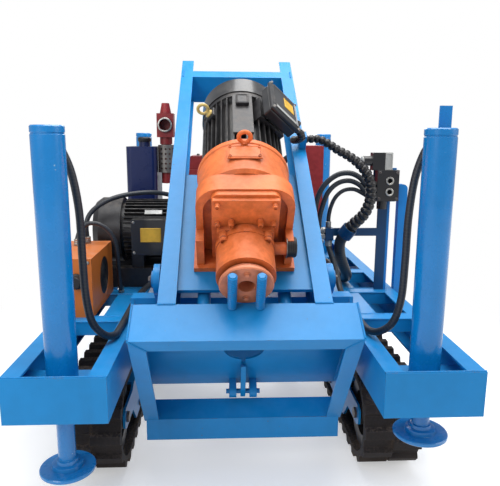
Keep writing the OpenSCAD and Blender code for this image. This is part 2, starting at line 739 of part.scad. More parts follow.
// Tilt cylinder, drawn along its own axis
tilt_pin_r = 18;
eye_y = -pivot_y + tilt_eye_s * cos(mast_angle) + tilt_eye_v * sin(mast_angle);
eye_z = pivot_z + tilt_eye_s * sin(mast_angle) - tilt_eye_v * cos(mast_angle);
tilt_len = norm([eye_y + tilt_base_y, eye_z - tilt_base_z]);
tilt_turn = atan2(eye_z - tilt_base_z, eye_y + tilt_base_y);
module in_tilt() {
    translate([0, -tilt_base_y, tilt_base_z]) rotate([tilt_turn, 0, 0]) children();
}
tilt_barrel_s1 = tilt_len - 78;
module tilt_barrel() {
    color(blue) in_tilt() {
        difference() {
            union() {
                rod_y(tilt_barrel_r, 44, tilt_barrel_s1);
                rod_y(tilt_barrel_r + 5, tilt_barrel_s1 - 30, tilt_barrel_s1);
                rod_x(34, -22, 22);
                translate([-22, 10, -30]) cube([44, 40, 60]);
            }
            rod_y(tilt_rod_r + fit, 70, tilt_barrel_s1 + 1);
            rod_x(tilt_pin_r + fit, -30, 30);
        }
    }
    color(steel) translate([0, -tilt_base_y, tilt_base_z]) rod_x(tilt_pin_r, -48, 48);
}
module tilt_rod() {
    color(steel) in_tilt() difference() {
        union() {
            rod_y(tilt_rod_r, 80, tilt_len - 20);
            translate([0, tilt_len, 0]) rod_x(32, -21, 21);
        }
        translate([0, tilt_len, 0]) rod_x(tilt_pin_r + fit, -30, 30);
    }
}

// Power pack
engine_y0 = 470;
engine_y1 = 930;
module engine_block() {
    z = deck_z + 60;
    color(red) {
        translate([-300, engine_y0 + 60, z]) cube([560, 340, 90]);
        translate([-340, engine_y0 + 20, z + 88]) cube([620, 420, 330]);
        for (x = [-300:120:180]) translate([x, engine_y0, z + 160]) cube([70, 22, 180]);
        translate([0, engine_y0 + 230, z + 200]) rod_x(200, 260, 330);
        translate([0, engine_y0 + 230, z + 200]) rod_x(90, -390, -338);
    }
}
module engine_head() {
    z = deck_z + 478;
    color(red) {
        translate([-330, engine_y0 + 50, z]) cube([600, 330, 90]);
        along_y(engine_y0 + 90, engine_y0 + 340) translate([-300, z + 84]) round_rect(540, 90, 30);
    }
}
module radiator() {
    z = deck_z;
    color(red) {
        difference() {
            translate([400, engine_y0 - 20, z]) cube([130, 500, 720]);
            translate([399, engine_y0 + 20, z + 40]) cube([132, 420, 600]);
        }
    }
    color(black) translate([430, engine_y0 + 18, z + 38]) cube([60, 424, 604]);
}
exhaust_x = -415;
exhaust_y = 420;
module exhaust() {
    color(red) translate([exhaust_x, exhaust_y - 20, 1414]) {
        difference() {
            union() {
                rod_y(40, -40, 60);
                translate([-48, -30, -70]) cube([96, 100, 136]);
                translate([0, 20, -110]) cylinder(r = 36, h = 110);
            }
            rod_y(32, -41, 30);
        }
    }
    color(steel) {
        translate([exhaust_x, exhaust_y, 1076]) cylinder(r = 30, h = 230);
        translate([exhaust_x, exhaust_y, 1479]) cylinder(r1 = 34, r2 = 22, h = 60);
        translate([exhaust_x, exhaust_y, 1100]) rod_y(26, -20, 145);
        translate([exhaust_x, exhaust_y + 120, 1100]) rod_x(26, -20, -330 - exhaust_x);
    }
}
module exhaust_shield() {
    color(steel) translate([exhaust_x, exhaust_y, 1140]) difference() {
        cylinder(r = 48, h = 160);
        translate([0, 0, 8]) cylinder(r = 45, h = 144);
        translate([0, 0, -1]) cylinder(r = 30 + seat, h = 162);
        for (z = [24:28:140], a = [-60:30:60])
            rotate([0, 0, a - 90]) translate([40, 0, z]) rotate([0, 90, 0]) cylinder(r = 6, h = 14);
    }
}
module oil_tank() {
    color(navy) {
        translate([-640, 330, deck_z]) linear_extrude(710) round_rect(175, 300, 30);
        translate([-550, 480, deck_z + 709]) cylinder(r = 34, h = 30);
    }
}
module pump_motor() {
    color(black) {
        translate([0, pump_motor_y, pump_motor_z]) {
            rod_x(140, -600, -290);
            translate([-440, 0, 0]) rotate([90, 0, 90]) linear_extrude(290, center = true)
                finned_outline(138, pump_motor_r - 8, 40, 5);
            turned_x() polygon([[0, -740], [pump_motor_r - 22, -740], [pump_motor_r, -710],
                [pump_motor_r, -600], [0, -600]]);
            rod_x(pump_motor_r - 4, -295, -250);
            translate([-500, -pump_motor_r - 4, -60]) cube([130, 80, 120]);
        }
        for (x = [-520, -340], y = [-130, 90])
            translate([x - 30, pump_motor_y + y, pump_motor_z - 180]) cube([60, 40, 90]);
    }
    color(blue) for (y = [-145, 85])
        translate([-760, pump_motor_y + y, deck_z]) cube([500, 70, pump_motor_z - 180 - deck_z]);
}
module pump_motor_box() {
    color(black) {
        translate([-530, pump_motor_y - pump_motor_r - 76, pump_motor_z - 90]) cube([190, 72, 175]);
    }
}
module hydraulic_pump() {
    color(steel) translate([0, pump_motor_y, pump_motor_z]) {
        rod_x(90, -250, -215);
        rod_x(60, -216, -120);
        translate([-190, -50, -50]) cube([60, 100, 100]);
        translate([-160, 0, -10]) rod_y(18, -75, 0);
    }
}
box_x1 = -635;
module control_box() {
    z1 = 256;
    w = half_w + box_x1;
    color(orange) translate([-half_w, -600, deck_z]) {
        difference() {
            cube([w, 420, z1]);
            translate([w - 12, 240, 128]) rod_x(88, 0, 13);
        }
        difference() {
            translate([w - 13, 240, 128]) rod_x(88.5, 0, 4);
            for (r = [20:16:76]) translate([w - 14, 240, 128]) difference() {
                rod_x(r + 10, 0, 6);
                rod_x(r, -1, 7);
            }
        }
    }
}
post_y = -190;
module valve_posts() {
    color(blue) {
        translate([0, post_y, 0]) along_y(0, 40) difference() {
            translate([frame_outer_x, beam_z0 + 20]) square([half_w - frame_outer_x, 680]);
            translate([half_w - 24, beam_z0 + 676]) difference() {
                square([25, 25]);
                circle(24);
            }
        }
        translate([694, post_y, deck_z]) cube([60, 10, 520]);
        translate([744, post_y, deck_z]) cube([10, 40, 520]);
        translate([662, post_y - 8, 1035]) cube([114, 8, 166]);
        translate([425, post_y, 860]) cube([270, 8, 40]);
    }
    color(black) {
        translate([425, post_y - 50, 846]) cube([40, 50, 60]);
        translate([505, post_y - 24, 884]) cube([30, 24, 16]);
        translate(collar_at) rotate([0, acos(collar_to[2]), atan2(collar_to[1], collar_to[0])]) difference() {
            translate([0, 0, -26]) cylinder(r = 38, h = 52);
            translate([0, 0, -27]) cylinder(r = 31.5, h = 54);
        }
    }
}
module valve_block() {
    y0 = post_y - 8 - 60;
    color(black) {
        difference() {
            translate([666, y0, 1043]) cube([106, 60, 150]);
            for (z = [1088, 1142]) translate([726, 0, z]) rod_y(11, y0 - 1, y0 + 30);
        }
        translate([640, y0 + 5, 1192]) cube([96, 50, 84]);
        translate([0, y0 + 30, 1236]) rod_x(24, 600, 641);
        translate([700, y0 + 30, 1003]) cylinder(r = 24, h = 41);
        for (h = loop_hoses) translate([0, h[2][0][1], h[2][0][2]]) rod_x(h[0] + 3, h[2][0][0], 668);
    }
    color(steel) for (z = [1088, 1142]) translate([726, 0, z]) difference() {
        rod_y(19, y0 - 5, y0);
        rod_y(11, y0 - 6, y0 + 1);
    }
}
// Hoses that the machine holds: radius, end radius, then the points they pass through
loop_hoses = [
    [13, 13, [[643.5, -228, 1120], [618, -228, 1120], [585, -228, 1156], [535, -228, 1177], [475, -226, 1168],
        [415, -224, 1120], [381, -222, 1050], [372, -220, 970], [376, -218, 905], [398, -216, 866],
        [424.5, -216, 866]]],
    [12, 12, [[643.5, -228, 1085], [618, -228, 1085], [585, -228, 1120], [535, -227, 1140], [480, -225, 1128],
        [435, -223, 1085], [410, -221, 1020], [396, -219, 955], [398, -216, 893], [424.5, -216, 893]]],
];
deck_hose_runs = [
    [14, 14, [[-637, -993.5, 1315], [-637, -975, 1315], [-625, -955, 1290], [-600, -945, 1210],
        [-582, -945, 1080], [-578, -950, 920], [-572, -955, 780], [-555, -950, 680], [-520, -925, 622],
        [-494, -870, 600], [-490, -780, 595.5], [-490, -640, 595], [-490, -480, 595], [-480, -320, 602],
        [-440, -220, 625], [-330, -170, 680], [-220, -130, 760], [-165, -100, 828], [-160, -70, 850],
        [-160, -45.5, 850]]],
    [14, 14, [[637, -993.5, 1315], [637, -975, 1315], [625, -955, 1290], [602, -945, 1200], [588, -945, 1060],
        [584, -950, 900], [576, -955, 760], [552, -945, 665], [515, -910, 618], [494, -850, 600],
        [490, -760, 595.5], [490, -640, 595.5], [490, -480, 597], [485, -350, 622], [470, -270, 720],
        [452, -230, 790], [445, -215, 820], [445, -215, 845.5]]],
    [28, 24, [[526, -254.4, 889], [511, -241, 865], [500, -228, 830], [506, -212, 770], [532, -185, 705],
        [560, -145, 652], [570, -85, 620], [567, -20, 608], [562, 60, 605], [558, 160, 605], [556, 260, 605]]],
];
collar_at = [528, -256, 892];
collar_to = [-0.475, 0.416, -0.772];
conduit_a = [[231, -485, 1382], [252, -473, 1365], [266, -440, 1345], [256, -380, 1334],
    [248, -310, 1333], [256, -270, 1336], [276, -259, 1337], [294, -259, 1337]];
conduit_b = [[298, -259, 1337], [330, -259, 1338], [373, -262, 1337], [417, -280, 1316], [460, -292, 1288],
    [508, -304, 1262], [552, -312, 1230], [590, -318, 1188], [614, -321, 1138], [620, -321, 1078],
    [608, -316, 1020], [586, -304, 975], [556, -281, 938], [528, -256, 892]];
module run_hoses(table) {
    color(black) for (h = table) hose(h[2], h[0], h[1]);
}
module hose_loops() {
    run_hoses(loop_hoses);
}
module deck_hoses() {
    run_hoses(deck_hose_runs);
}
module conduit_head() {
    color(black) hose(conduit_a, 15, 17);
}
module conduit_mast() {
    color(black) hose(conduit_b, 17, 30);
}

track(-1);  // track_left
track(1);  // track_right
track_frame(-1);  // track_frame_left
track_frame(1);  // track_frame_right
front_idlers();
drive_sprockets();
track_rollers();
chassis_beams();
side_frame(-1);  // side_frame_left
side_frame(1);  // side_frame_right
platform_beams();
mast_stand();
jack_tube(-1, -1);  // jack_tube_front_left
jack_tube(1, -1, true);  // jack_tube_front_right
jack_tube(-1, 1);  // jack_tube_rear_left
jack_tube(1, 1);  // jack_tube_rear_right
jack_leg(-1, -1, jack_drop);  // jack_leg_front_left
jack_leg(1, -1, 0);  // jack_leg_front_right
jack_leg(-1, 1, 0);  // jack_leg_rear_left
jack_leg(1, 1, 0);  // jack_leg_rear_right
mast_rails();
foot_frame();
guide_pegs();
foot_lever();
feed_cylinders();
carriage_plate();
feed_rods();
gear_housing();
bell_housing();
head_motor();
head_fan_cover();
head_terminal_box();
spindle_adapter();
tilt_barrel();
tilt_rod();
engine_block();
engine_head();
radiator();
exhaust();
exhaust_shield();
oil_tank();
pump_motor();
pump_motor_box();
hydraulic_pump();
control_box();
valve_posts();
valve_block();
hose_loops();
deck_hoses();
conduit_head();
conduit_mast();
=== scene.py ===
"""Looks of a small crawler drilling rig.

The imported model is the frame. Its nodes keep their shape and get painted here, and the hoses,
conduit, bolts, weld beads, grilles, labels and fittings are modelled around them.
"""

import logging
import math
from dataclasses import dataclass, field
from enum import Enum
from typing import Iterable, Optional, Sequence, Union

import bpy
from mathutils import Matrix, Vector


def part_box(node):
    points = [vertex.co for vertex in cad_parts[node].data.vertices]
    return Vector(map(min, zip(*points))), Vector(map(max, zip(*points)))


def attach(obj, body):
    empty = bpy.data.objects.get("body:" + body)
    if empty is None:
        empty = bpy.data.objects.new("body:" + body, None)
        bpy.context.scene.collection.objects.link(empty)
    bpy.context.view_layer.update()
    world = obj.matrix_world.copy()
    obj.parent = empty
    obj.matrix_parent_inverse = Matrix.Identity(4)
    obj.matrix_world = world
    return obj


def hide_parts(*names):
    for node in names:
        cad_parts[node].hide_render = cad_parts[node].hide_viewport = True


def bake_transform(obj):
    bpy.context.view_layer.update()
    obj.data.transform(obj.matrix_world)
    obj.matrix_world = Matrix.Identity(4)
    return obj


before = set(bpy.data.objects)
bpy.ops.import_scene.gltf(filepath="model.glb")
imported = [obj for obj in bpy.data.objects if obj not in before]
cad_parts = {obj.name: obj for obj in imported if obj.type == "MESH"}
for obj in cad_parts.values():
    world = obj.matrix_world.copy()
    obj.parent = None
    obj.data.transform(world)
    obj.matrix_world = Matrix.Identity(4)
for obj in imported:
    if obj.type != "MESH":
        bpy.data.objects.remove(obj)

log = logging.getLogger("drilling_rig")
Point = tuple[float, float, float]
Colour = tuple[float, float, float, float]
Spot = tuple[Point, Point]
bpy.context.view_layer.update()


def linear(red: int, green: int, blue: int) -> Colour:
    """Turn a display colour into a linear one.

    Args:
        red: Red, 0 to 255.
        green: Green, 0 to 255.
        blue: Blue, 0 to 255.

    Returns:
        The linear colour with alpha 1.
    """
    parts = [c / 255 for c in (red, green, blue)]
    low = [p / 12.92 if p <= 0.04045 else ((p + 0.055) / 1.055) ** 2.4 for p in parts]
    return (low[0], low[1], low[2], 1.0)


class Value:
    """A number socket of a finish that takes part in Python arithmetic."""

    def __init__(self, shader: "Shader", socket: bpy.types.NodeSocket) -> None:
        """Keep the socket and the finish it belongs to."""
        self.shader = shader
        self.socket = socket

    def _math(self, operation: str, *terms: "Term", clamp: bool = False) -> "Value":
        """Add one Math node.

        Args:
            operation: The node's operation.
            terms: What goes into its sockets, in order.
            clamp: Whether the result stays between 0 and 1.

        Returns:
            The node's result.
        """
        settings = {"operation": operation, "use_clamp": clamp}
        made = self.shader.node("ShaderNodeMath", settings, dict(enumerate(terms)))
        return Value(self.shader, made.outputs[0])

    def __add__(self, other: "Term") -> "Value":
        """Return self + other."""
        return self._math("ADD", self, other)

    def __radd__(self, other: "Term") -> "Value":
        """Return other + self."""
        return self._math("ADD", other, self)

    def __sub__(self, other: "Term") -> "Value":
        """Return self - other."""
        return self._math("SUBTRACT", self, other)

    def __rsub__(self, other: "Term") -> "Value":
        """Return other - self."""
        return self._math("SUBTRACT", other, self)

    def __mul__(self, other: "Term") -> "Value":
        """Return self * other."""
        return self._math("MULTIPLY", self, other)

    def __rmul__(self, other: "Term") -> "Value":
        """Return other * self."""
        return self._math("MULTIPLY", other, self)

    def __truediv__(self, other: "Term") -> "Value":
        """Return self / other."""
        return self._math("DIVIDE", self, other)

    def __pow__(self, other: "Term") -> "Value":
        """Return self to the power of other."""
        return self._math("POWER", self, other)

    def clamped(self) -> "Value":
        """Return self held between 0 and 1."""
        return self._math("ADD", self, 0.0, clamp=True)

    def largest(self, other: "Term") -> "Value":
        """Return the larger of self and other."""
        return self._math("MAXIMUM", self, other)

    def sine(self) -> "Value":
        """Return the sine of self."""
        return self._math("SINE", self)

    def step(self, low: float, high: float) -> "Value":
        """Rise smoothly from 0 at low to 1 at high.

        Args:
            low: Where the result is 0.
            high: Where the result is 1.

        Returns:
            The smooth step.
        """
        settings = {"interpolation_type": "SMOOTHSTEP"}
        limits = {"Value": self, "From Min": low, "From Max": high}
        made = self.shader.node("ShaderNodeMapRange", settings, limits)
        return Value(self.shader, made.outputs[0])


Term = Union[float, Value]
Paint = Union[Colour, bpy.types.NodeSocket]


class Shader:
    """One finish being built: a Principled surface and the nodes that feed it."""

    def __init__(self, name: str) -> None:
        """Start a material with an empty node tree.

        Args:
            name: The finish's name.
        """
        self.material = bpy.data.materials.new(name)
        self.material.use_nodes = True
        self.tree = self.material.node_tree
        self.tree.nodes.clear()
        self.surface = self.node("ShaderNodeBsdfPrincipled")
        self.node("ShaderNodeOutputMaterial", None, {"Surface": self.surface.outputs[0]})
        self.coordinates = self.node("ShaderNodeTexCoord")

    def node(
        self, kind: str, settings: Optional[dict] = None, inputs: Optional[dict] = None
    ) -> bpy.types.Node:
        """Add one node.

        Args:
            kind: The node's type name.
            settings: Its properties, set before its sockets.
            inputs: Values or links by socket name or number.

        Returns:
            The node.
        """
        made = self.tree.nodes.new(kind)
        for key, setting in (settings or {}).items():
            setattr(made, key, setting)
        for key, term in (inputs or {}).items():
            self.feed(made.inputs[key], term)
        return made

    def feed(self, socket: bpy.types.NodeSocket, term: object) -> None:
        """Link a socket or set its value.

        Args:
            socket: The input to feed.
            term: A Value, a socket, a number or a colour.
        """
        if isinstance(term, Value):
            self.tree.links.new(term.socket, socket)
        elif isinstance(term, bpy.types.NodeSocket):
            self.tree.links.new(term, socket)
        else:
            socket.default_value = term

    def place(self, stretch: Point = (1.0, 1.0, 1.0)) -> bpy.types.NodeSocket:
        """Return the object coordinates, scaled along each axis."""
        if stretch == (1.0, 1.0, 1.0):
            return self.coordinates.outputs["Object"]
        inputs = {"Vector": self.coordinates.outputs["Object"], "Scale": stretch}
        return self.node("ShaderNodeMapping", None, inputs).outputs[0]

    def noise(
        self, scale: float, detail: float = 4.0, rough: float = 0.55,
        stretch: Point = (1.0, 1.0, 1.0), warp: float = 0.0,
    ) -> Value:
        """Sample a cloudy pattern.

        Args:
            scale: Cells per metre.
            detail: Octaves.
            rough: Strength of the fine octaves.
            stretch: Scale of the coordinates along each axis.
            warp: Distortion.

        Returns:
            The pattern, about 0.5 on average.
        """
        inputs = {"Vector": self.place(stretch), "Scale": scale, "Detail": detail,
                  "Roughness": rough, "Distortion": warp}
        return Value(self, self.node("ShaderNodeTexNoise", None, inputs).outputs[0])

    def cells(self, scale: float, stretch: Point = (1.0, 1.0, 1.0)) -> Value:
        """Return the distance to the nearest of scattered points."""
        inputs = {"Vector": self.place(stretch), "Scale": scale}
        return Value(self, self.node("ShaderNodeTexVoronoi", None, inputs).outputs[0])

    def facing_up(self) -> Value:
        """Return how far the surface faces up on the object, -1 to 1."""
        inputs = {0: self.coordinates.outputs["Normal"]}
        return Value(self, self.node("ShaderNodeSeparateXYZ", None, inputs).outputs[2])

    def height(self) -> Value:
        """Return the height above the floor, in metres."""
        split = self.node("ShaderNodeSeparateXYZ", None, {0: self.coordinates.outputs["Object"]})
        return Value(self, split.outputs[2])

    def across(self) -> Value:
        """Return the place across the machine, in metres to its left."""
        split = self.node("ShaderNodeSeparateXYZ", None, {0: self.coordinates.outputs["Object"]})
        return Value(self, split.outputs[0])

    def along(self) -> tuple[Value, Value]:
        """Return a tube's own coordinates: metres along it, and turns round it."""
        uv = self.node("ShaderNodeUVMap", {"uv_map": "along"}).outputs[0]
        split = self.node("ShaderNodeSeparateXYZ", None, {0: uv})
        return Value(self, split.outputs[0]), Value(self, split.outputs[1])

    def edges(self, radius: float) -> Value:
        """Find the edges of the shape.

        Args:
            radius: Reach of the search, in metres.

        Returns:
            About 0 on flats and up to 1 on edges.
        """
        bent = self.node("ShaderNodeBevel", {"samples": 4}, {"Radius": radius}).outputs[0]
        flat = self.node("ShaderNodeNewGeometry").outputs["Normal"]
        inputs = {0: bent, 1: flat}
        made = self.node("ShaderNodeVectorMath", {"operation": "DOT_PRODUCT"}, inputs)
        return (1.0 - Value(self, made.outputs["Value"])).clamped()

    def corners(self, reach: float) -> Value:
        """Find the inner corners, where shade falls and dirt or rust collects.

        Args:
            reach: Reach of the search, in metres.

        Returns:
            0 in the open, up to 1 in deep corners.
        """
        settings = {"samples": 4, "only_local": False}
        made = self.node("ShaderNodeAmbientOcclusion", settings, {"Distance": reach})
        return (1.0 - Value(self, made.outputs["AO"])).clamped()

    def mix(self, factor: Term, low: Paint, high: Paint) -> bpy.types.NodeSocket:
        """Blend two colours.

        Args:
            factor: Share of the second colour.
            low: Colour at factor 0.
            high: Colour at factor 1.

        Returns:
            The colour socket.
        """
        inputs = {0: factor, 6: low, 7: high}
        return self.node("ShaderNodeMix", {"data_type": "RGBA"}, inputs).outputs[2]

    def bump(self, strength: float, reach: float, height: Value) -> None:
        """Raise the surface by a height pattern.

        Args:
            strength: Share of the effect.
            reach: Metres per unit of height.
            height: The pattern.
        """
        inputs = {"Strength": strength, "Distance": reach, "Height": height}
        made = self.node("ShaderNodeBump", None, inputs)
        self.feed(self.surface.inputs["Normal"], made.outputs[0])

    def set(self, **terms: object) -> None:
        """Feed the Principled surface's sockets, underscores for spaces."""
        for key, term in terms.items():
            self.feed(self.surface.inputs[key.replace("_", " ")], term)


@dataclass(frozen=True)
class Enamel:
    """Sprayed enamel on welded steel, with chipped edges, scuffs, dust and painted corner shade."""

    name: str
    colour: Colour
    chip: Colour = linear(96, 80, 72)
    dust: Colour = linear(176, 168, 156)
    gloss: float = 0.36
    wear: float = 1.0
    dusty: float = 0.35
    grain: float = 0.0
    # Painted shade darkens the paint where X lies below this value; -9 turns it off.
    shade_below_x: float = -9.0
    coat: float = 0.1

    def build(self) -> bpy.types.Material:
        """Return the finish."""
        s = Shader(self.name)
        cloud = s.noise(2.6, 5.0)
        mottle = s.noise(19.0, 4.0, 0.6)
        streak = s.noise(9.0, 4.0, 0.6, (1.0, 1.0, 0.12))
        speck = s.noise(160.0, 2.0)
        corner = s.corners(0.05)
        edge = s.edges(0.0035)
        deep = tuple(0.82 * c for c in self.colour[:3]) + (1.0,)
        pale = tuple(min(1.0, 1.12 * c + 0.004) for c in self.colour[:3]) + (1.0,)
        paint = s.mix((cloud * 0.7 + mottle * 0.3).step(0.2, 0.85), deep, pale)
        # Painted shade: the paint darkens where X lies below the given value, as if in shadow.
        if self.shade_below_x > -9.0:
            shade = s.across().step(self.shade_below_x + 0.002, self.shade_below_x - 0.002)
            paint = s.mix(shade, paint, tuple(0.22 * c for c in self.colour[:3]) + (1.0,))
        # Painted shade: the corners (ambient occlusion) are darkened, together with dirt streaks and
        # mottle.
        corner_shade_and_grime = (corner * 0.75 + streak.step(0.5, 0.8) * 0.22 + mottle * 0.1).clamped()
        paint = s.mix(corner_shade_and_grime * 0.6, paint, tuple(0.3 * c + 0.012 for c in self.colour[:3]) + (1.0,))
        settled = s.facing_up().step(0.35, 0.95) * mottle.step(0.3, 0.75) * self.dusty
        film = (settled + s.height().step(0.45, 0.0) * cloud * 0.45 * self.dusty).clamped()
        paint = s.mix(film, paint, self.dust)
        scuff = s.noise(34.0, 6.0, 0.7, (1.0, 0.22, 1.0), 1.4).step(0.66, 0.72)
        paint = s.mix(scuff * 0.4 * self.wear, paint, pale)
        worn = (edge.step(0.02, 0.22) * mottle.step(0.48, 0.62) * self.wear).clamped()
        nick = s.noise(52.0, 3.0, 0.62).step(0.735, 0.75) * 0.8 * self.wear
        chips = worn.largest(nick)
        rough = self.gloss + mottle * 0.12 + film * 0.4 + chips * 0.25 + corner_shade_and_grime * 0.15
        s.set(Base_Color=s.mix(chips, paint, self.chip), Roughness=rough.clamped(),
              Specular_IOR_Level=0.34)
        s.set(Coat_Weight=((1.0 - film - chips) * self.coat).clamped(), Coat_Roughness=0.12)
        relief = speck * (0.22 + self.grain) + cloud * 1.2 + mottle * 0.5 - chips * 0.7
        s.bump(0.35, 0.0011, relief)
        return s.material


@dataclass(frozen=True)
class CastPaint:
    """Paint over a sand casting: pitted, oil runs, painted shade in the corners, worn edges."""

    name: str
    colour: Colour
    under: Colour = linear(70, 58, 54)
    # Colour of the oil runs and of the painted shade in the corners.
    oil_and_shade: Colour = linear(60, 32, 20)
    gloss: float = 0.42
    pits: float = 1.0
    wear: float = 1.0

    def build(self) -> bpy.types.Material:
        """Return the finish."""
        s = Shader(self.name)
        cloud = s.noise(5.0, 5.0)
        mottle = s.noise(33.0, 5.0, 0.62)
        sand = s.noise(420.0, 3.0, 0.6)
        pit = s.cells(210.0).step(0.36, 0.1)
        corner = s.corners(0.04)
        edge = s.edges(0.004)
        deep = tuple(0.66 * c for c in self.colour[:3]) + (1.0,)
        pale = tuple(min(1.0, 1.1 * c + 0.012) for c in self.colour[:3]) + (1.0,)
        paint = s.mix((cloud * 0.55 + mottle * 0.45).step(0.33, 0.68), deep, pale)
        run = s.noise(14.0, 4.0, 0.6, (1.0, 1.0, 0.2), 0.6).step(0.58, 0.76)
        # Painted shade: the corners (ambient occlusion) darken toward the oil colour, together with oil
        # runs.
        corner_shade_and_oil = (corner * 0.9 + run * 0.3).clamped()
        paint = s.mix(corner_shade_and_oil * 0.6, paint, self.oil_and_shade)
        dust = (s.facing_up().step(0.5, 1.0) * mottle.step(0.35, 0.8) * 0.3).clamped()
        paint = s.mix(dust, paint, linear(160, 146, 130))
        chips = (edge.step(0.03, 0.26) * mottle.step(0.5, 0.6) * self.wear).clamped()
        chips = chips.largest(s.noise(74.0, 3.0).step(0.74, 0.76) * self.wear)
        rough = self.gloss + mottle * 0.16 + dust * 0.4 - corner_shade_and_oil * 0.14 + chips * 0.2
        s.set(Base_Color=s.mix(chips, paint, self.under), Roughness=rough.clamped())
        relief = sand * 0.35 + cloud * 1.6 + mottle * 0.9 - pit * 0.5 * self.pits - chips * 0.6
        s.bump(0.45, 0.0014, relief)
        return s.material


@dataclass(frozen=True)
class BareMetal:
    """Machined or plated steel with fine turning marks, stains and a little rust."""

    name: str
    colour: Colour = linear(176, 176, 178)
    rust: Colour = linear(104, 60, 38)
    rough: float = 0.3
    rusty: float = 0.3
    metallic: float = 0.92

    def build(self) -> bpy.types.Material:
        """Return the finish."""
        s = Shader(self.name)
        lines = s.noise(60.0, 3.0, 0.6, (1.0, 9.0, 9.0))
        cloud = s.noise(16.0, 5.0, 0.6)
        corner = s.corners(0.02)
        dull = tuple(0.55 * c for c in self.colour[:3]) + (1.0,)
        metal = s.mix((cloud * 0.6 + lines * 0.4).step(0.35, 0.7), dull, self.colour)
        spots = (s.noise(70.0, 4.0, 0.65).step(0.58, 0.72) + corner).clamped() * self.rusty
        s.set(Base_Color=s.mix(spots, metal, self.rust), Metallic=self.metallic - spots * 0.8,
              Roughness=(self.rough + cloud * 0.2 + spots * 0.4).clamped())
        s.bump(0.25, 0.0006, lines * 0.6 + cloud * 0.5 - spots * 0.4)
        return s.material


@dataclass(frozen=True)
class TrackRubber:
    """Used track rubber: dark, scored, with dry soil in its low places."""

    name: str
    colour: Colour = linear(44, 38, 37)
    soil: Colour = linear(128, 112, 98)

    def build(self) -> bpy.types.Material:
        """Return the finish."""
        s = Shader(self.name)
        cloud = s.noise(7.0, 6.0, 0.6)
        fine = s.noise(95.0, 4.0, 0.65)
        score = s.noise(40.0, 4.0, 0.7, (0.15, 1.0, 1.0), 1.0)
        corner = s.corners(0.035)
        edge = s.edges(0.006)
        base = s.mix(fine.step(0.35, 0.7), tuple(0.6 * c for c in self.colour[:3]) + (1.0,),
                     self.colour)
        caked = (corner.step(0.25, 0.75) * cloud.step(0.36, 0.6) * 0.75
                 + s.facing_up().step(0.4, 1.0) * fine.step(0.4, 0.7) * 0.35
                 + s.height().step(0.12, 0.0) * cloud * 0.3).clamped()
        worn = edge.step(0.04, 0.3) * 0.35 + score.step(0.62, 0.74) * 0.25
        body = s.mix(worn.clamped(), base, linear(92, 84, 80))
        s.set(Base_Color=s.mix(caked, body, self.soil), Specular_IOR_Level=0.3,
              Roughness=(0.66 + fine * 0.18 + caked * 0.2).clamped())
        s.bump(0.55, 0.002, cloud * 0.8 + fine * 0.55 + score * 0.5 + caked * 0.5)
        return s.material


@dataclass(frozen=True)
class Wrap:
    """Black hose or conduit skin: spiral wrap or moulded ribs along the tube."""

    name: str
    colour: Colour
    pitch: float
    relief: float
    rough: float = 0.46

    def build(self) -> bpy.types.Material:
        """Return the finish."""
        s = Shader(self.name)
        run, turn = s.along()
        spiral = ((run / self.pitch + turn) * math.tau).sine() * 0.5 + 0.5
        fine = s.noise(130.0, 3.0, 0.6)
        cloud = s.noise(12.0, 4.0)
        dust = ((s.facing_up().step(0.2, 1.0) * cloud.step(0.35, 0.7) * 0.14)
                + spiral.step(0.4, 0.0) * cloud * 0.14).clamped()
        skin = s.mix(fine.step(0.3, 0.75), tuple(0.7 * c for c in self.colour[:3]) + (1.0,),
                     self.colour)
        s.set(Base_Color=s.mix(dust, skin, linear(122, 116, 108)),
              Roughness=(self.rough + fine * 0.14 + dust * 0.35).clamped())
        s.bump(0.7, self.relief, spiral + fine * 0.12)
        return s.material


@dataclass(frozen=True)
class Moulded:
    """Moulded plastic or a plain printed sheet: fine grain, handling marks, painted corner shade."""

    name: str
    colour: Colour
    rough: float = 0.45
    grain: float = 260.0

    def build(self) -> bpy.types.Material:
        """Return the finish."""
        s = Shader(self.name)
        fine = s.noise(self.grain, 3.0, 0.6)
        cloud = s.noise(21.0, 5.0, 0.6)
        mark = s.noise(46.0, 5.0, 0.7, (1.0, 0.3, 1.0), 1.0).step(0.62, 0.7)
        corner = s.corners(0.015)
        low = tuple(0.8 * c for c in self.colour[:3]) + (1.0,)
        skin = s.mix(cloud.step(0.35, 0.7), low, self.colour)
        # Painted shade in the corners (ambient occlusion), mixed with handling marks.
        skin = s.mix((corner * 0.5 + mark * 0.16).clamped(), skin, linear(58, 52, 48))
        s.set(Base_Color=skin, Roughness=(self.rough + cloud * 0.16 + mark * 0.15).clamped())
        s.bump(0.3, 0.0005, fine * 0.5 + cloud * 0.6 - mark * 0.3)
        return s.material


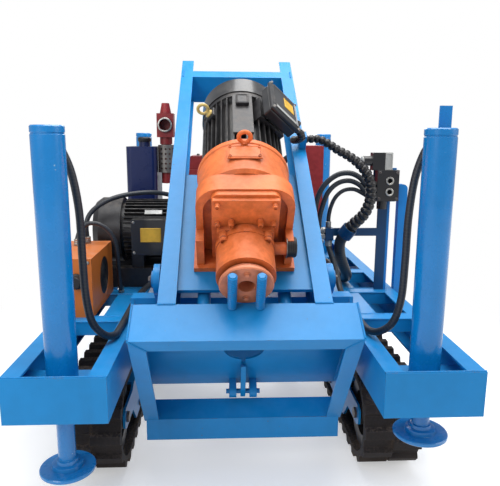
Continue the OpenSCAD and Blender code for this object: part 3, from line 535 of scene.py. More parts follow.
class Finish(Enum):
    """The rig's finishes."""

    BLUE = Enamel("blue_enamel", linear(2, 138, 208), gloss=0.3, dusty=0.04)
    # The valve post below x 0.742 gets painted shade, as if in shadow.
    BLUE_POST = Enamel("blue_post_enamel_painted_shade", linear(4, 126, 204), gloss=0.3, dusty=0.1,
                       shade_below_x=0.742)
    BLUE_JACK = Enamel("blue_jack_enamel", linear(2, 130, 204),
                       linear(150, 186, 210), gloss=0.2, dusty=0.04, coat=0.6)
    ORANGE = CastPaint("orange_casting", linear(238, 118, 50))
    SPINDLE = CastPaint("orange_worn_casting", linear(236, 140, 96), gloss=0.36, wear=1.6)
    ORANGE_BOX = Enamel("orange_cabinet", linear(208, 112, 40), gloss=0.36, dusty=0.2)
    # Its fourth colour is for oil runs and for painted shade in the corners.
    MOTOR = CastPaint("black_motor_casting", linear(36, 35, 38), linear(120, 116, 112),
                      linear(14, 13, 13), 0.34, 0.4, 0.5)
    COVER = Enamel("black_sheet", linear(30, 30, 33), linear(110, 108, 106), gloss=0.24,
                   dusty=0.12, wear=0.5, coat=0.5)
    # Its fourth colour is for oil runs and for painted shade in the corners.
    ENGINE = CastPaint("red_engine_paint", linear(150, 26, 30), linear(78, 60, 56),
                       linear(34, 14, 12), 0.4)
    TANK = Enamel("navy_tank_enamel", linear(4, 26, 80), gloss=0.22,
                  dusty=0.04, coat=0.5)
    STEEL = BareMetal("bright_steel")
    PLATED = BareMetal("plated_fittings", linear(196, 194, 188), rough=0.22, rusty=0.12)
    BOLTS = BareMetal("bolt_steel", linear(120, 118, 118), rough=0.36, rusty=0.45)
    EXHAUST = BareMetal("exhaust_steel", linear(150, 146, 142), rough=0.42, rusty=0.7)
    RUBBER = TrackRubber("track_rubber")
    HOSE = Wrap("hose_rubber", linear(40, 46, 54), 0.012, 0.00025, 0.34)
    CONDUIT = Wrap("conduit_plastic", linear(24, 23, 26), 0.021, 0.0003, 0.26)
    LABEL = Moulded("yellow_label", linear(226, 178, 56), 0.4)
    PLATE = BareMetal("blank_plate", linear(188, 188, 186), rough=0.34, rusty=0.1)
    GREY = Moulded("grey_plastic", linear(176, 176, 172))
    DARK = Moulded("black_plastic", linear(32, 32, 34), 0.4)
    YELLOW = Enamel("yellow_eye_enamel", linear(214, 186, 112), gloss=0.26)


_built: dict[Finish, bpy.types.Material] = {}


def finish_of(finish: Finish) -> bpy.types.Material:
    """Return the finish's material, built at its first use."""
    if finish not in _built:
        _built[finish] = finish.value.build()
    return _built[finish]


class Bench:
    """Modelling by operators: each call leaves one mesh object with its place in its mesh."""

    @staticmethod
    def clear() -> None:
        """Deselect everything."""
        bpy.ops.object.select_all(action="DESELECT")

    @staticmethod
    def pick(piece: bpy.types.Object) -> None:
        """Make a piece the only selected and active one."""
        Bench.clear()
        piece.select_set(True)
        bpy.context.view_layer.objects.active = piece

    @staticmethod
    def fix(piece: bpy.types.Object) -> bpy.types.Object:
        """Put a piece's place, turn and scale into its mesh."""
        Bench.pick(piece)
        bpy.ops.object.transform_apply(location=True, rotation=True, scale=True)
        return piece

    @staticmethod
    def moved(piece: bpy.types.Object, place: Matrix) -> bpy.types.Object:
        """Move a finished mesh by a matrix, and keep its object at the origin."""
        piece.data.transform(place)
        piece.data.update()
        return piece

    @staticmethod
    def smooth(piece: bpy.types.Object, angle: float = 35.0) -> bpy.types.Object:
        """Shade a piece smooth up to an angle in degrees."""
        Bench.pick(piece)
        bpy.ops.object.shade_smooth_by_angle(angle=math.radians(angle))
        return piece

    @staticmethod
    def rounded(piece: bpy.types.Object, width: float, segments: int = 2) -> bpy.types.Object:
        """Round a piece's sharp edges.

        Args:
            piece: The piece.
            width: Width of the rounding, in metres.
            segments: Its steps.

        Returns:
            The piece, with the modifier applied.
        """
        Bench.pick(piece)
        cut = piece.modifiers.new("rounding", "BEVEL")
        cut.width = width
        cut.segments = segments
        cut.limit_method = "ANGLE"
        cut.angle_limit = math.radians(35)
        bpy.ops.object.modifier_apply(modifier=cut.name)
        return piece

    @staticmethod
    def block(name: str, low: Point, high: Point, edge: float = 0.002) -> bpy.types.Object:
        """Make a box with rounded edges between two corners."""
        size = [b - a for a, b in zip(low, high)]
        Bench.clear()
        middle = [(a + b) / 2 for a, b in zip(low, high)]
        bpy.ops.mesh.primitive_cube_add(size=1, location=middle)
        piece = bpy.context.object
        piece.name = name
        piece.scale = size
        Bench.fix(piece)
        return Bench.rounded(piece, min(edge, 0.4 * min(size))) if edge > 0 else piece

    @staticmethod
    def select(piece: bpy.types.Object, facing: Point, above: float = 0.9) -> None:
        """Select the faces that look a given way, in object mode."""
        way = Vector(facing).normalized()
        Bench.pick(piece)
        for group in (piece.data.vertices, piece.data.edges):
            group.foreach_set("select", [False] * len(group))
        for face in piece.data.polygons:
            face.select = face.normal.dot(way) > above

    @staticmethod
    def recess(
        piece: bpy.types.Object, facing: Point, rim: float, depth: float
    ) -> bpy.types.Object:
        """Inset the faces that look one way and sink or raise them.

        Args:
            piece: The piece.
            facing: The way the faces look.
            rim: Width of the rim that stays, in metres.
            depth: How far the middle sinks, negative to raise it.

        Returns:
            The piece.
        """
        Bench.select(piece, facing)
        bpy.ops.object.mode_set(mode="EDIT")
        bpy.ops.mesh.select_mode(type="FACE")
        bpy.ops.mesh.inset(thickness=rim, depth=0)
        shift = [-depth * c for c in Vector(facing).normalized()]
        bpy.ops.mesh.extrude_region_move(TRANSFORM_OT_translate={"value": shift})
        bpy.ops.object.mode_set(mode="OBJECT")
        return piece

    @staticmethod
    def turned(
        name: str, profile: Sequence[tuple[float, float]], steps: int = 24
    ) -> bpy.types.Object:
        """Spin a profile round Z.

        Args:
            name: The piece's name.
            profile: Radius and height points, from the bottom up; a radius 0 closes an end.
            steps: Steps round.

        Returns:
            The piece, standing on Z.
        """
        mesh = bpy.data.meshes.new(name)
        points = [(r, 0.0, z) for r, z in profile]
        mesh.from_pydata(points, [(i, i + 1) for i in range(len(points) - 1)], [])
        piece = bpy.data.objects.new(name, mesh)
        bpy.context.scene.collection.objects.link(piece)
        Bench.pick(piece)
        bpy.ops.object.mode_set(mode="EDIT")
        bpy.ops.mesh.select_all(action="SELECT")
        bpy.ops.mesh.spin(steps=steps, angle=math.tau, center=(0, 0, 0), axis=(0, 0, 1))
        bpy.ops.mesh.select_all(action="SELECT")
        bpy.ops.mesh.remove_doubles(threshold=0.00002)
        bpy.ops.mesh.normals_make_consistent(inside=False)
        bpy.ops.object.mode_set(mode="OBJECT")
        return Bench.smooth(piece)

    @staticmethod
    def prism(name: str, radius: float, height: float, sides: int) -> bpy.types.Object:
        """Make a prism on the XY plane with a chamfered top."""
        Bench.clear()
        bpy.ops.mesh.primitive_cylinder_add(
            vertices=sides, radius=radius, depth=height, location=(0, 0, height / 2)
        )
        piece = bpy.context.object
        piece.name = name
        Bench.fix(piece)
        Bench.select(piece, (0, 0, 1))
        bpy.ops.object.mode_set(mode="EDIT")
        bpy.ops.mesh.select_mode(type="FACE")
        bpy.ops.mesh.inset(thickness=radius * 0.16, depth=radius * 0.07)
        bpy.ops.object.mode_set(mode="OBJECT")
        return piece

    @staticmethod
    def joined(name: str, parts: Iterable[bpy.types.Object]) -> bpy.types.Object:
        """Join several meshes into one piece."""
        group = list(parts)
        Bench.clear()
        for part in group:
            part.select_set(True)
        bpy.context.view_layer.objects.active = group[0]
        if len(group) > 1:
            bpy.ops.object.join()
        piece = bpy.context.object
        piece.name = name
        piece.data.name = name
        return piece

    @staticmethod
    def copies(
        name: str, model: bpy.types.Object, places: Iterable[Matrix]
    ) -> bpy.types.Object:
        """Copy a model to several places, join the copies and drop the model."""
        made = []
        for place in places:
            twin = bpy.data.objects.new(name, model.data.copy())
            bpy.context.scene.collection.objects.link(twin)
            made.append(Bench.moved(twin, place))
        bpy.data.objects.remove(model)
        return Bench.joined(name, made)


def standing(place: Point, outward: Point, turn: float = 0.0) -> Matrix:
    """Place something modelled on Z so that it stands on a surface.

    Args:
        place: Where it stands.
        outward: The way it points.
        turn: Turn about that way, in degrees.

    Returns:
        The matrix.
    """
    way = Vector(outward).normalized().to_track_quat("Z", "Y").to_matrix().to_4x4()
    return Matrix.Translation(place) @ way @ Matrix.Rotation(math.radians(turn), 4, "Z")


def dress(piece: bpy.types.Object, finish: Finish, body: str) -> bpy.types.Object:
    """Paint a finished piece and let it ride.

    Args:
        piece: The piece.
        finish: Its finish.
        body: The body it moves with.

    Returns:
        The piece.
    """
    piece.data.materials.clear()
    piece.data.materials.append(finish_of(finish))
    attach(piece, body)
    faces = len(piece.data.polygons)
    log.info("%s: %d faces, rides on %s", piece.name, faces, body)
    return piece


def paint_node(node: str, finish: Finish) -> None:
    """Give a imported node's material slots one finish."""
    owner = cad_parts[node]
    if not owner.material_slots:
        owner.data.materials.append(finish_of(finish))
    for place in owner.material_slots:
        place.material = finish_of(finish)
    log.info("%s: painted %s", node, finish.name.lower())


@dataclass(frozen=True)
class Bolt:
    """A hexagon or socket-head bolt with its washer, standing on Z."""

    radius: float
    height: float
    sides: int = 6
    washer: float = 1.35

    def model(self) -> bpy.types.Object:
        """Return one bolt at the origin."""
        head = Bench.prism("bolt", self.radius, self.height, self.sides)
        Bench.moved(head, Matrix.Translation((0, 0, 0.0016)))
        if self.sides > 6:
            Bench.recess(head, (0, 0, 1), self.radius * 0.3, self.height * 0.45)
        ring = Bench.prism("washer", self.radius * self.washer, 0.0022, 16)
        return Bench.joined("bolt", [head, ring])

    def at(self, name: str, spots: Sequence[Spot], frame_of: Matrix = Matrix()) -> bpy.types.Object:
        """Set bolts at places that face given ways.

        Args:
            name: The piece's name.
            spots: Place and outward way of each bolt.
            frame_of: The axes in which the spots are given.

        Returns:
            One piece with all of them.
        """
        places = [
            frame_of @ standing(place, way, 13.0 * i) for i, (place, way) in enumerate(spots)
        ]
        return Bench.copies(name, self.model(), places)


@dataclass
class Tube:
    """A round tube along given points, with its own coordinates along and round it."""

    name: str
    points: Sequence[Point]
    radius: float
    radius_end: float = 0.0
    sides: int = 16
    steps: int = 6
    rib_pitch: float = 0.0
    rib_depth: float = 0.0

    def centreline(self) -> list[Vector]:
        """Return the smooth path through the points."""
        p = [Vector(v) for v in self.points]
        line = []
        for i in range(len(p) - 1):
            a, b, c, d = p[max(i - 1, 0)], p[i], p[i + 1], p[min(i + 2, len(p) - 1)]
            for k in range(self.steps):
                t = k / self.steps
                line.append(0.5 * (2 * b + (c - a) * t + (2 * a - 5 * b + 4 * c - d) * t * t
                                   + (3 * b - a - 3 * c + d) * t ** 3))
        line.append(p[-1])
        return self._ribbed(line) if self.rib_pitch > 0 else line

    def _ribbed(self, line: list[Vector]) -> list[Vector]:
        """Space a path's points by a quarter of the ribs' pitch."""
        lengths = [0.0]
        for a, b in zip(line, line[1:]):
            lengths.append(lengths[-1] + (b - a).length)
        count = max(4, round(lengths[-1] / self.rib_pitch) * 4)
        fine, i = [], 0
        for k in range(count + 1):
            s = lengths[-1] * k / count
            while i < len(lengths) - 2 and lengths[i + 1] < s:
                i += 1
            t = (s - lengths[i]) / max(lengths[i + 1] - lengths[i], 1e-9)
            fine.append(line[i].lerp(line[i + 1], min(max(t, 0.0), 1.0)))
        return fine

    def length(self) -> float:
        """Return the path's length in metres."""
        line = self.centreline()
        return sum((b - a).length for a, b in zip(line, line[1:]))

    def build(self) -> bpy.types.Object:
        """Sweep a circle along the path.

        Returns:
            The closed tube.
        """
        line = self.centreline()
        last = len(line) - 1
        heads = [(line[min(i + 1, last)] - line[max(i - 1, 0)]).normalized() for i in range(last + 1)]
        side = heads[0].orthogonal().normalized()
        rings: list[Vector] = []
        run, runs = 0.0, []
        grow = (self.radius_end or self.radius) - self.radius
        for i, (centre, head) in enumerate(zip(line, heads)):
            side = (side - head * side.dot(head)).normalized()
            other = head.cross(side)
            run += (centre - line[i - 1]).length if i else 0.0
            runs.append(run)
            rib = self.rib_depth if self.rib_pitch > 0 and i % 4 == 0 and 0 < i < last else 0.0
            r = self.radius + grow * i / last - rib
            for k in range(self.sides):
                a = math.tau * k / self.sides
                rings.append(centre + r * (math.cos(a) * side + math.sin(a) * other))
        n = self.sides
        faces = [
            [i * n + k, i * n + (k + 1) % n, (i + 1) * n + (k + 1) % n, (i + 1) * n + k]
            for i in range(last) for k in range(n)
        ]
        faces.append(list(range(n - 1, -1, -1)))
        faces.append([last * n + k for k in range(n)])
        mesh = bpy.data.meshes.new(self.name)
        mesh.from_pydata(rings, [], faces)
        layer = mesh.uv_layers.new(name="along")
        for face in mesh.polygons[: last * n]:
            i, k = divmod(face.index, n)
            corners = [(i, k), (i, k + 1), (i + 1, k + 1), (i + 1, k)]
            for loop, (row, col) in zip(face.loop_indices, corners):
                layer.data[loop].uv = (runs[row], col / n)
        piece = bpy.data.objects.new(self.name, mesh)
        bpy.context.scene.collection.objects.link(piece)
        return Bench.smooth(piece, 60.0)


@dataclass(frozen=True)
class Weld:
    """A rippled fillet bead along straight seams."""

    radius: float = 0.0045
    pitch: float = 0.0055

    def along(self, name: str, seams: Sequence[tuple[Point, Point]],
              frame_of: Matrix = Matrix()) -> bpy.types.Object:
        """Lay beads.

        Args:
            name: The piece's name.
            seams: Start and end of each bead.
            frame_of: The axes in which the seams are given.

        Returns:
            One piece with all the beads.
        """
        beads = []
        for start, end in seams:
            bead = Tube(name, [start, end], self.radius, sides=6, steps=1,
                        rib_pitch=self.pitch, rib_depth=self.radius * 0.24)
            beads.append(Bench.moved(bead.build(), frame_of))
        return Bench.joined(name, beads)


MAST_TURN = 35.0
MAST = Matrix.Translation((0.0, -0.805, 0.8)) @ Matrix.Rotation(math.radians(MAST_TURN), 4, "X")
MOTOR_AXIS = MAST @ Matrix.Translation((0.0, 0.0, 0.245))
BOX_AXES = MOTOR_AXIS @ Matrix.Rotation(math.radians(45), 4, "Y")


def ring(radius: float, count: int, s: float, v: float, way: float,
         start: float = 0.0) -> list[Spot]:
    """Spread spots on a circle round an axis that runs along the mast.

    Args:
        radius: The circle's radius.
        count: How many.
        s: Place along the mast.
        v: Height of the circle's middle off the pivot line.
        way: 1 to face up the mast, -1 to face down it.
        start: Turn of the first spot, in degrees.

    Returns:
        The spots, in mast axes.
    """
    turns = [math.radians(start + 360 * i / count) for i in range(count)]
    return [((radius * math.cos(a), s, v + radius * math.sin(a)), (0.0, way, 0.0)) for a in turns]


def mirrored(spots: Sequence[Spot]) -> list[Spot]:
    """Return spots together with their mirror images across the machine's middle."""
    twins = [((-p[0], p[1], p[2]), (-w[0], w[1], w[2])) for p, w in spots]
    return list(spots) + twins


@dataclass
class Studio:
    """Camera, plain floor, white surroundings and soft lamps."""

    camera_at: Point = (-0.0786, -2.8448, 1.3332)
    pitch: float = 10.827
    yaw: float = 2.857
    roll: float = 0.385
    focal_pixels: float = 540.0
    frame_pixels: float = 500.0
    floor_half: float = 9.0
    shade_reach: float = 1.3
    white_from: float = 2.3

    def camera(self) -> None:
        """Stand the camera where the photograph was taken."""
        data = bpy.data.cameras.new("camera")
        data.sensor_width = 36.0
        data.lens = 36.0 * self.focal_pixels / self.frame_pixels
        eye = bpy.data.objects.new("camera", data)
        bpy.context.scene.collection.objects.link(eye)
        turn = (Matrix.Rotation(math.radians(-self.yaw), 4, "Z")
                @ Matrix.Rotation(math.radians(90 - self.pitch), 4, "X")
                @ Matrix.Rotation(math.radians(self.roll), 4, "Z"))
        eye.matrix_world = Matrix.Translation(self.camera_at) @ turn
        bpy.context.scene.camera = eye

    def floor(self) -> None:
        """Lay a pale floor that shows white to the camera but keeps the machine's shadow."""
        Bench.clear()
        bpy.ops.mesh.primitive_plane_add(size=2 * self.floor_half, location=(0, 0, -0.002))
        plane = bpy.context.object
        plane.name = "studio_floor"
        shader = Shader("studio_floor")
        grain = shader.noise(3.0, 3.0)
        low, high = linear(212, 212, 212), linear(224, 224, 224)
        shader.set(Base_Color=shader.mix(grain, low, high), Roughness=0.7)
        seen = shader.node("ShaderNodeLightPath")
        glow = (Value(shader, seen.outputs["Is Camera Ray"])
                + Value(shader, seen.outputs["Is Glossy Ray"])
                + Value(shader, seen.outputs["Is Transmission Ray"])).clamped()
        light = shader.node("ShaderNodeEmission", None, {"Color": (1, 1, 1, 1), "Strength": 0.42})
        both = shader.node("ShaderNodeAddShader", None,
                           {0: shader.surface.outputs[0], 1: light.outputs[0]})
        white = shader.node("ShaderNodeEmission", None, {"Color": (1, 1, 1, 1), "Strength": 1.0})
        place = shader.node("ShaderNodeVectorMath", {"operation": "LENGTH"}, {0: shader.place()})
        far = Value(shader, place.outputs["Value"]).step(self.shade_reach, self.white_from)
        fade = shader.node("ShaderNodeMixShader", None,
                           {0: far, 1: both.outputs[0], 2: white.outputs[0]})
        inputs = {0: glow, 1: shader.surface.outputs[0], 2: fade.outputs[0]}
        choice = shader.node("ShaderNodeMixShader", None, inputs)
        out = [n for n in shader.tree.nodes if n.bl_idname == "ShaderNodeOutputMaterial"][0]
        shader.feed(out.inputs["Surface"], choice.outputs[0])
        plane.data.materials.append(shader.material)

    def surroundings(self) -> None:
        """Give the world a soft grey light and a white look."""
        world = bpy.data.worlds.new("studio")
        bpy.context.scene.world = world
        world.use_nodes = True
        nodes, links = world.node_tree.nodes, world.node_tree.links
        nodes.clear()
        seen = nodes.new("ShaderNodeLightPath")
        dim = nodes.new("ShaderNodeBackground")
        dim.inputs["Color"].default_value = linear(236, 240, 246)
        dim.inputs["Strength"].default_value = 0.5
        white = nodes.new("ShaderNodeBackground")
        white.inputs["Color"].default_value = (1, 1, 1, 1)
        white.inputs["Strength"].default_value = 1.0
        mix = nodes.new("ShaderNodeMixShader")
        links.new(seen.outputs["Is Camera Ray"], mix.inputs[0])
        links.new(dim.outputs[0], mix.inputs[1])
        links.new(white.outputs[0], mix.inputs[2])
        out = nodes.new("ShaderNodeOutputWorld")
        links.new(mix.outputs[0], out.inputs[0])

    def lamp(self, name: str, place: Point, aim: Point, size: float, watts: float) -> None:
        """Hang one soft square lamp.

        Args:
            name: Its name.
            place: Where it hangs.
            aim: The point it looks at.
            size: Its side in metres.
            watts: Its power.
        """
        data = bpy.data.lights.new(name, "AREA")
        data.size = size
        data.energy = watts
        holder = bpy.data.objects.new(name, data)
        bpy.context.scene.collection.objects.link(holder)
        way = (Vector(aim) - Vector(place)).to_track_quat("-Z", "Y").to_matrix().to_4x4()
        holder.matrix_world = Matrix.Translation(place) @ way

    def build(self) -> None:
        """Set up the whole studio."""
        self.camera()
        self.floor()
        self.surroundings()
        self.lamp("lamp_over", (0.3, -0.4, 4.2), (0, 0, 0.6), 3.2, 160.0)
        self.lamp("lamp_front", (-2.4, -3.6, 2.6), (0, -0.4, 0.7), 2.0, 60.0)
        self.lamp("lamp_side", (3.4, -1.6, 2.4), (0, -0.2, 0.7), 2.0, 34.0)
        self.lamp("lamp_back", (0.6, 3.8, 3.0), (0, 0, 0.8), 2.4, 60.0)
        bpy.context.scene.view_settings.view_transform = "Standard"


@dataclass
class HoseLine:
    """One hose that leaves a fitting and goes back into the machine."""

    name: str
    radius: float
    points: Sequence[Point]
    radius_end: float = 0.0

    def build(self, body: str, declared: bool = True) -> bpy.types.Object:
        """Make the hose and let it ride.

        Args:
            body: The body that holds it.
            declared: Whether the hose's length is logged.

        Returns:
            The hose.
        """
        tube = Tube(self.name, self.points, self.radius, self.radius_end, steps=5)
        piece = dress(tube.build(), Finish.HOSE, body)
        if declared:
            line = tube.centreline()
            tube.length()
            2 * self.radius
            log.info("%s: %.2f m long", self.name, tube.length())
        return piece


def metres(*rows: Sequence[float]) -> list[Point]:
    """Turn millimetre rows into points in metres."""
    return [(row[0] / 1000, row[1] / 1000, row[2] / 1000) for row in rows]


@dataclass
class Lines:
    """Hydraulic hoses, the electric conduit and what ends them."""

    rib_pitch: float = 0.020
    rib_depth: float = 0.0042

    def loops(self) -> None:
        """Make the two hoses that arch from the valve block down to the clamp block."""
        upper = HoseLine("loop_hose_upper", 0.013, metres(
            (643.5, -228, 1120), (618, -228, 1120), (585, -228, 1156), (535, -228, 1177),
            (475, -226, 1168), (415, -224, 1120), (381, -222, 1050), (372, -220, 970),
            (376, -218, 905), (398, -216, 866), (424.5, -216, 866)))
        lower = HoseLine("loop_hose_lower", 0.012, metres(
            (643.5, -228, 1085), (618, -228, 1085), (585, -228, 1120), (535, -227, 1140),
            (480, -225, 1128), (435, -223, 1085), (410, -221, 1020), (396, -219, 955),
            (398, -216, 893), (424.5, -216, 893)))
        inner = HoseLine("loop_hose_inner", 0.010, metres(
            (664, -228, 1057), (638, -228, 1057), (605, -226, 1078), (560, -223, 1098),
            (512, -219, 1092), (474, -216, 1060), (452, -214, 1012), (443, -213, 965),
            (442, -214, 930), (442, -215, 906.5)))
        piece = upper.build("platform")
        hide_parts("hose_loops")
        lower.build("platform")
        inner.build("platform")

    def deck(self) -> None:
        """Make the two jack hoses and the thick bundle along the right deck strip."""
        left = HoseLine("jack_hose_left", 0.014, metres(
            (-637, -993.5, 1315), (-637, -975, 1315), (-625, -955, 1290), (-600, -945, 1210),
            (-582, -945, 1080), (-578, -950, 920), (-572, -955, 780), (-555, -950, 680),
            (-520, -925, 622), (-494, -870, 600), (-490, -780, 595.5), (-490, -640, 595),
            (-490, -480, 595), (-480, -320, 602), (-440, -220, 625), (-330, -170, 680),
            (-220, -130, 760), (-165, -100, 828), (-160, -70, 850), (-160, -45.5, 850)))
        right = HoseLine("jack_hose_right", 0.014, metres(
            (637, -993.5, 1315), (637, -975, 1315), (625, -955, 1290), (602, -945, 1200),
            (588, -945, 1060), (584, -950, 900), (576, -955, 760), (552, -945, 665),
            (515, -910, 618), (494, -850, 600), (490, -760, 595.5), (490, -640, 595.5),
            (490, -480, 597), (485, -350, 622), (470, -270, 720), (452, -230, 790),
            (445, -215, 820), (445, -215, 845.5)))
        bundle = HoseLine("hose_bundle", 0.028, metres(
            (526, -254.4, 889), (511, -241, 865), (500, -228, 830), (506, -212, 770),
            (532, -185, 705), (560, -145, 652), (570, -85, 620), (567, -20, 608), (562, 60, 605),
            (558, 160, 605), (556, 260, 605), (546, 305, 606), (518, 352, 608),
            (486, 395, 613), (468, 426, 618), (466, 449, 619)), 0.024)
        piece = left.build("platform")
        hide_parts("deck_hoses")
        right.build("platform")
        bundle.build("platform", declared=False)

    def cabinet(self) -> None:
        """Make the two hoses that rise from the cabinet's top, by and over the pump motor."""
        over = HoseLine("pump_hose", 0.0115, metres(
            (-735, -240, 837), (-738, -238, 870), (-740, -233, 920), (-728, -220, 968),
            (-690, -195, 1010), (-620, -160, 1046), (-530, -115, 1064), (-430, -75, 1066),
            (-340, -35, 1046), (-262, 5, 1008), (-200, 35, 962), (-168, 48, 935),
            (-160, 50, 911)))
        beside = HoseLine("cabinet_hose", 0.0105, metres(
            (-770, -300, 837), (-768, -298, 872), (-752, -290, 912), (-715, -278, 938),
            (-670, -268, 932), (-628, -258, 898), (-602, -252, 845), (-594, -248, 780),
            (-592, -242, 710), (-590, -232, 650), (-588, -215, 581)))
        over.build("platform")
        beside.build("platform")

    def conduit(self) -> None:
        """Make the ribbed conduit from the head's terminal box over the mast to the deck."""
        head = Tube("conduit_head_ribbed", metres(
            (231, -485, 1382), (252, -473, 1365), (266, -440, 1345), (256, -380, 1334),
            (248, -310, 1333), (256, -270, 1336), (276, -259, 1337), (294, -259, 1337)),
            0.0158, 0.0178, rib_pitch=self.rib_pitch, rib_depth=self.rib_depth)
        self._bent(head.build(), "mast", "carriage",
                   "conduit_head")
        mast = Tube("conduit_mast_ribbed", metres(
            (298, -259, 1337), (330, -259, 1338), (373, -262, 1337), (417, -280, 1316),
            (460, -292, 1288), (508, -304, 1262), (552, -312, 1230), (590, -318, 1188),
            (614, -321, 1138), (620, -321, 1078), (608, -316, 1020), (586, -304, 975),
            (556, -281, 938), (528, -256, 892)),
            0.0178, 0.0305, rib_pitch=self.rib_pitch * 1.3, rib_depth=self.rib_depth * 1.3)
        self._bent(mast.build(), "platform", "mast",
                   "conduit_mast")

    def _bent(self, piece: bpy.types.Object, low: str, high: str,
              node: str) -> None:
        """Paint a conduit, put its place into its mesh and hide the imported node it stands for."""
        piece.data.materials.append(finish_of(Finish.CONDUIT))
        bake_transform(piece)
        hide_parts(node)
        log.info("%s: bends between %s and %s", piece.name, low, high)

    def fittings(self) -> None:
        """Crimp ferrules and hexagon nuts on the hoses' ends."""
        ends: list[tuple[Point, Point, float]] = [
            ((0.6435, -0.228, 1.12), (-1, 0, 0), 0.013), ((0.6435, -0.228, 1.085), (-1, 0, 0), 0.012),
            ((0.4245, -0.216, 0.866), (-1, 0, 0), 0.013), ((0.4245, -0.216, 0.893), (-1, 0, 0), 0.012),
            ((-0.637, -0.9935, 1.315), (0, 1, 0), 0.014), ((0.637, -0.9935, 1.315), (0, 1, 0), 0.014),
            ((0.664, -0.228, 1.057), (-1, 0, 0), 0.010), ((0.442, -0.215, 0.9065), (0, 0, 1), 0.010),
            ((-0.735, -0.24, 0.837), (0, 0, 1), 0.0115), ((-0.16, 0.05, 0.911), (0, 0, 1), 0.0115),
            ((-0.77, -0.3, 0.837), (0, 0, 1), 0.0105), ((-0.588, -0.215, 0.581), (0, 0, 1), 0.0105),
            ((-0.16, -0.0455, 0.85), (0, -1, 0), 0.014), ((0.445, -0.215, 0.8455), (0, 0, -1), 0.014)]
        parts = []
        for place, way, radius in ends:
            outer = radius + 0.0035
            sleeve = Bench.turned("ferrule", [
                (radius + 0.0002, 0.006), (outer, 0.006), (outer, 0.012), (outer - 0.001, 0.014),
                (outer, 0.016), (outer, 0.020), (outer - 0.001, 0.022), (outer, 0.024),
                (outer, 0.030), (radius + 0.0002, 0.032)], 20)
            nut = Bench.prism("nut", radius * 1.42, 0.007, 6)
            parts += [Bench.moved(part, standing(place, way)) for part in (sleeve, nut)]
        dress(Bench.joined("hose_fittings", parts), Finish.PLATED, "platform")
        collar = Bench.turned("bundle_collar", [
            (0.0245, 0.0), (0.036, 0.0), (0.038, 0.002), (0.038, 0.007), (0.031, 0.009),
            (0.030, 0.018), (0.028, 0.020), (0.0245, 0.020)], 28)
        dress(Bench.moved(collar, standing((0.466, 0.4495, 0.619), (0, -1, 0))), Finish.DARK,
              "platform")

    def build(self) -> None:
        """Build all lines."""
        self.loops()
        self.deck()
        self.cabinet()
        self.conduit()
        self.fittings()


@dataclass
class RunningGear:
    """Tracks, wheels, frames and the chassis between them."""

    track_x: float = 0.590
    wheel_y: float = 0.745
    axle_z: float = 0.195
    plate_x: float = 0.108

    def build(self) -> None:
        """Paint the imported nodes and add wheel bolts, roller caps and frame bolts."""
        for side in ("left", "right"):
            paint_node(f"track_{side}", Finish.RUBBER)
            paint_node(f"track_frame_{side}", Finish.BLUE)
        for node in ("front_idlers", "drive_sprockets", "track_rollers"):
            paint_node(node, Finish.BOLTS)
        paint_node("chassis_beams", Finish.BLUE)
        spots: list[Spot] = []
        for y in (-self.wheel_y, self.wheel_y):
            for i in range(6):
                a = math.tau * i / 6
                spots.append(((self.track_x + 0.092, y + 0.062 * math.cos(a),
                               self.axle_z + 0.062 * math.sin(a)), (1, 0, 0)))
        caps = [((self.track_x + self.plate_x, y, 0.094), (1, 0, 0))
                for y in (-0.42, -0.21, 0.0, 0.21, 0.42)]
        frame_bolts = [((self.track_x + self.plate_x, y, 0.222), (1, 0, 0))
                       for y in (-0.5, -0.26, 0.26, 0.5)]
        dress(Bolt(0.008, 0.007).at("wheel_bolts", mirrored(spots)), Finish.BOLTS, "platform")
        dress(Bolt(0.013, 0.006).at("roller_caps", mirrored(caps)), Finish.BOLTS, "platform")
        dress(Bolt(0.009, 0.007).at("track_frame_bolts", mirrored(frame_bolts)), Finish.BLUE,
              "platform")


@dataclass
class Platform:
    """Side frames, cross beams and the stand for the mast."""

    deck: float = 0.580
    inner: float = 0.455
    outer: float = 0.797
    half: float = 1.205

    def build(self) -> None:
        """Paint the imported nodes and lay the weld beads."""
        for node in ("side_frame_left", "side_frame_right", "platform_beams", "mast_stand"):
            paint_node(node, Finish.BLUE)
        seams: list[tuple[Point, Point]] = []
        for sx in (-1, 1):
            for sy in (-1, 1):
                y = sy * (self.half - 0.008)
                seams.append(((sx * self.inner, y, self.deck), (sx * self.outer, y, self.deck)))
            for y, width in ((-0.62, 0.07), (-0.207, 0.08), (0.207, 0.08), (0.62, 0.07)):
                for edge in (-width / 2, width / 2):
                    seams.append(((sx * (self.inner + 0.063), y + edge, self.deck - 0.001),
                                  (sx * (self.outer - 0.063), y + edge, self.deck - 0.001)))
            seams.append(((sx * 0.439, -0.76, 0.58), (sx * 0.439, -0.58, 0.58)))
            seams.append(((sx * 0.3195, -0.7195, 0.62), (sx * 0.3195, -0.7195, 0.70)))
            seams.append(((sx * 0.3455, -0.7195, 0.62), (sx * 0.3455, -0.7195, 0.70)))
        dress(Weld().along("platform_welds", seams), Finish.BLUE, "platform")
        spots: list[Spot] = []
        for y in (-0.56, -0.44, 0.36, 0.56):
            spots += [((0.487, y, self.deck), (0, 0, 1))]
        dress(Bolt(0.009, 0.008).at("deck_bolts", mirrored(spots)), Finish.BLUE, "platform")


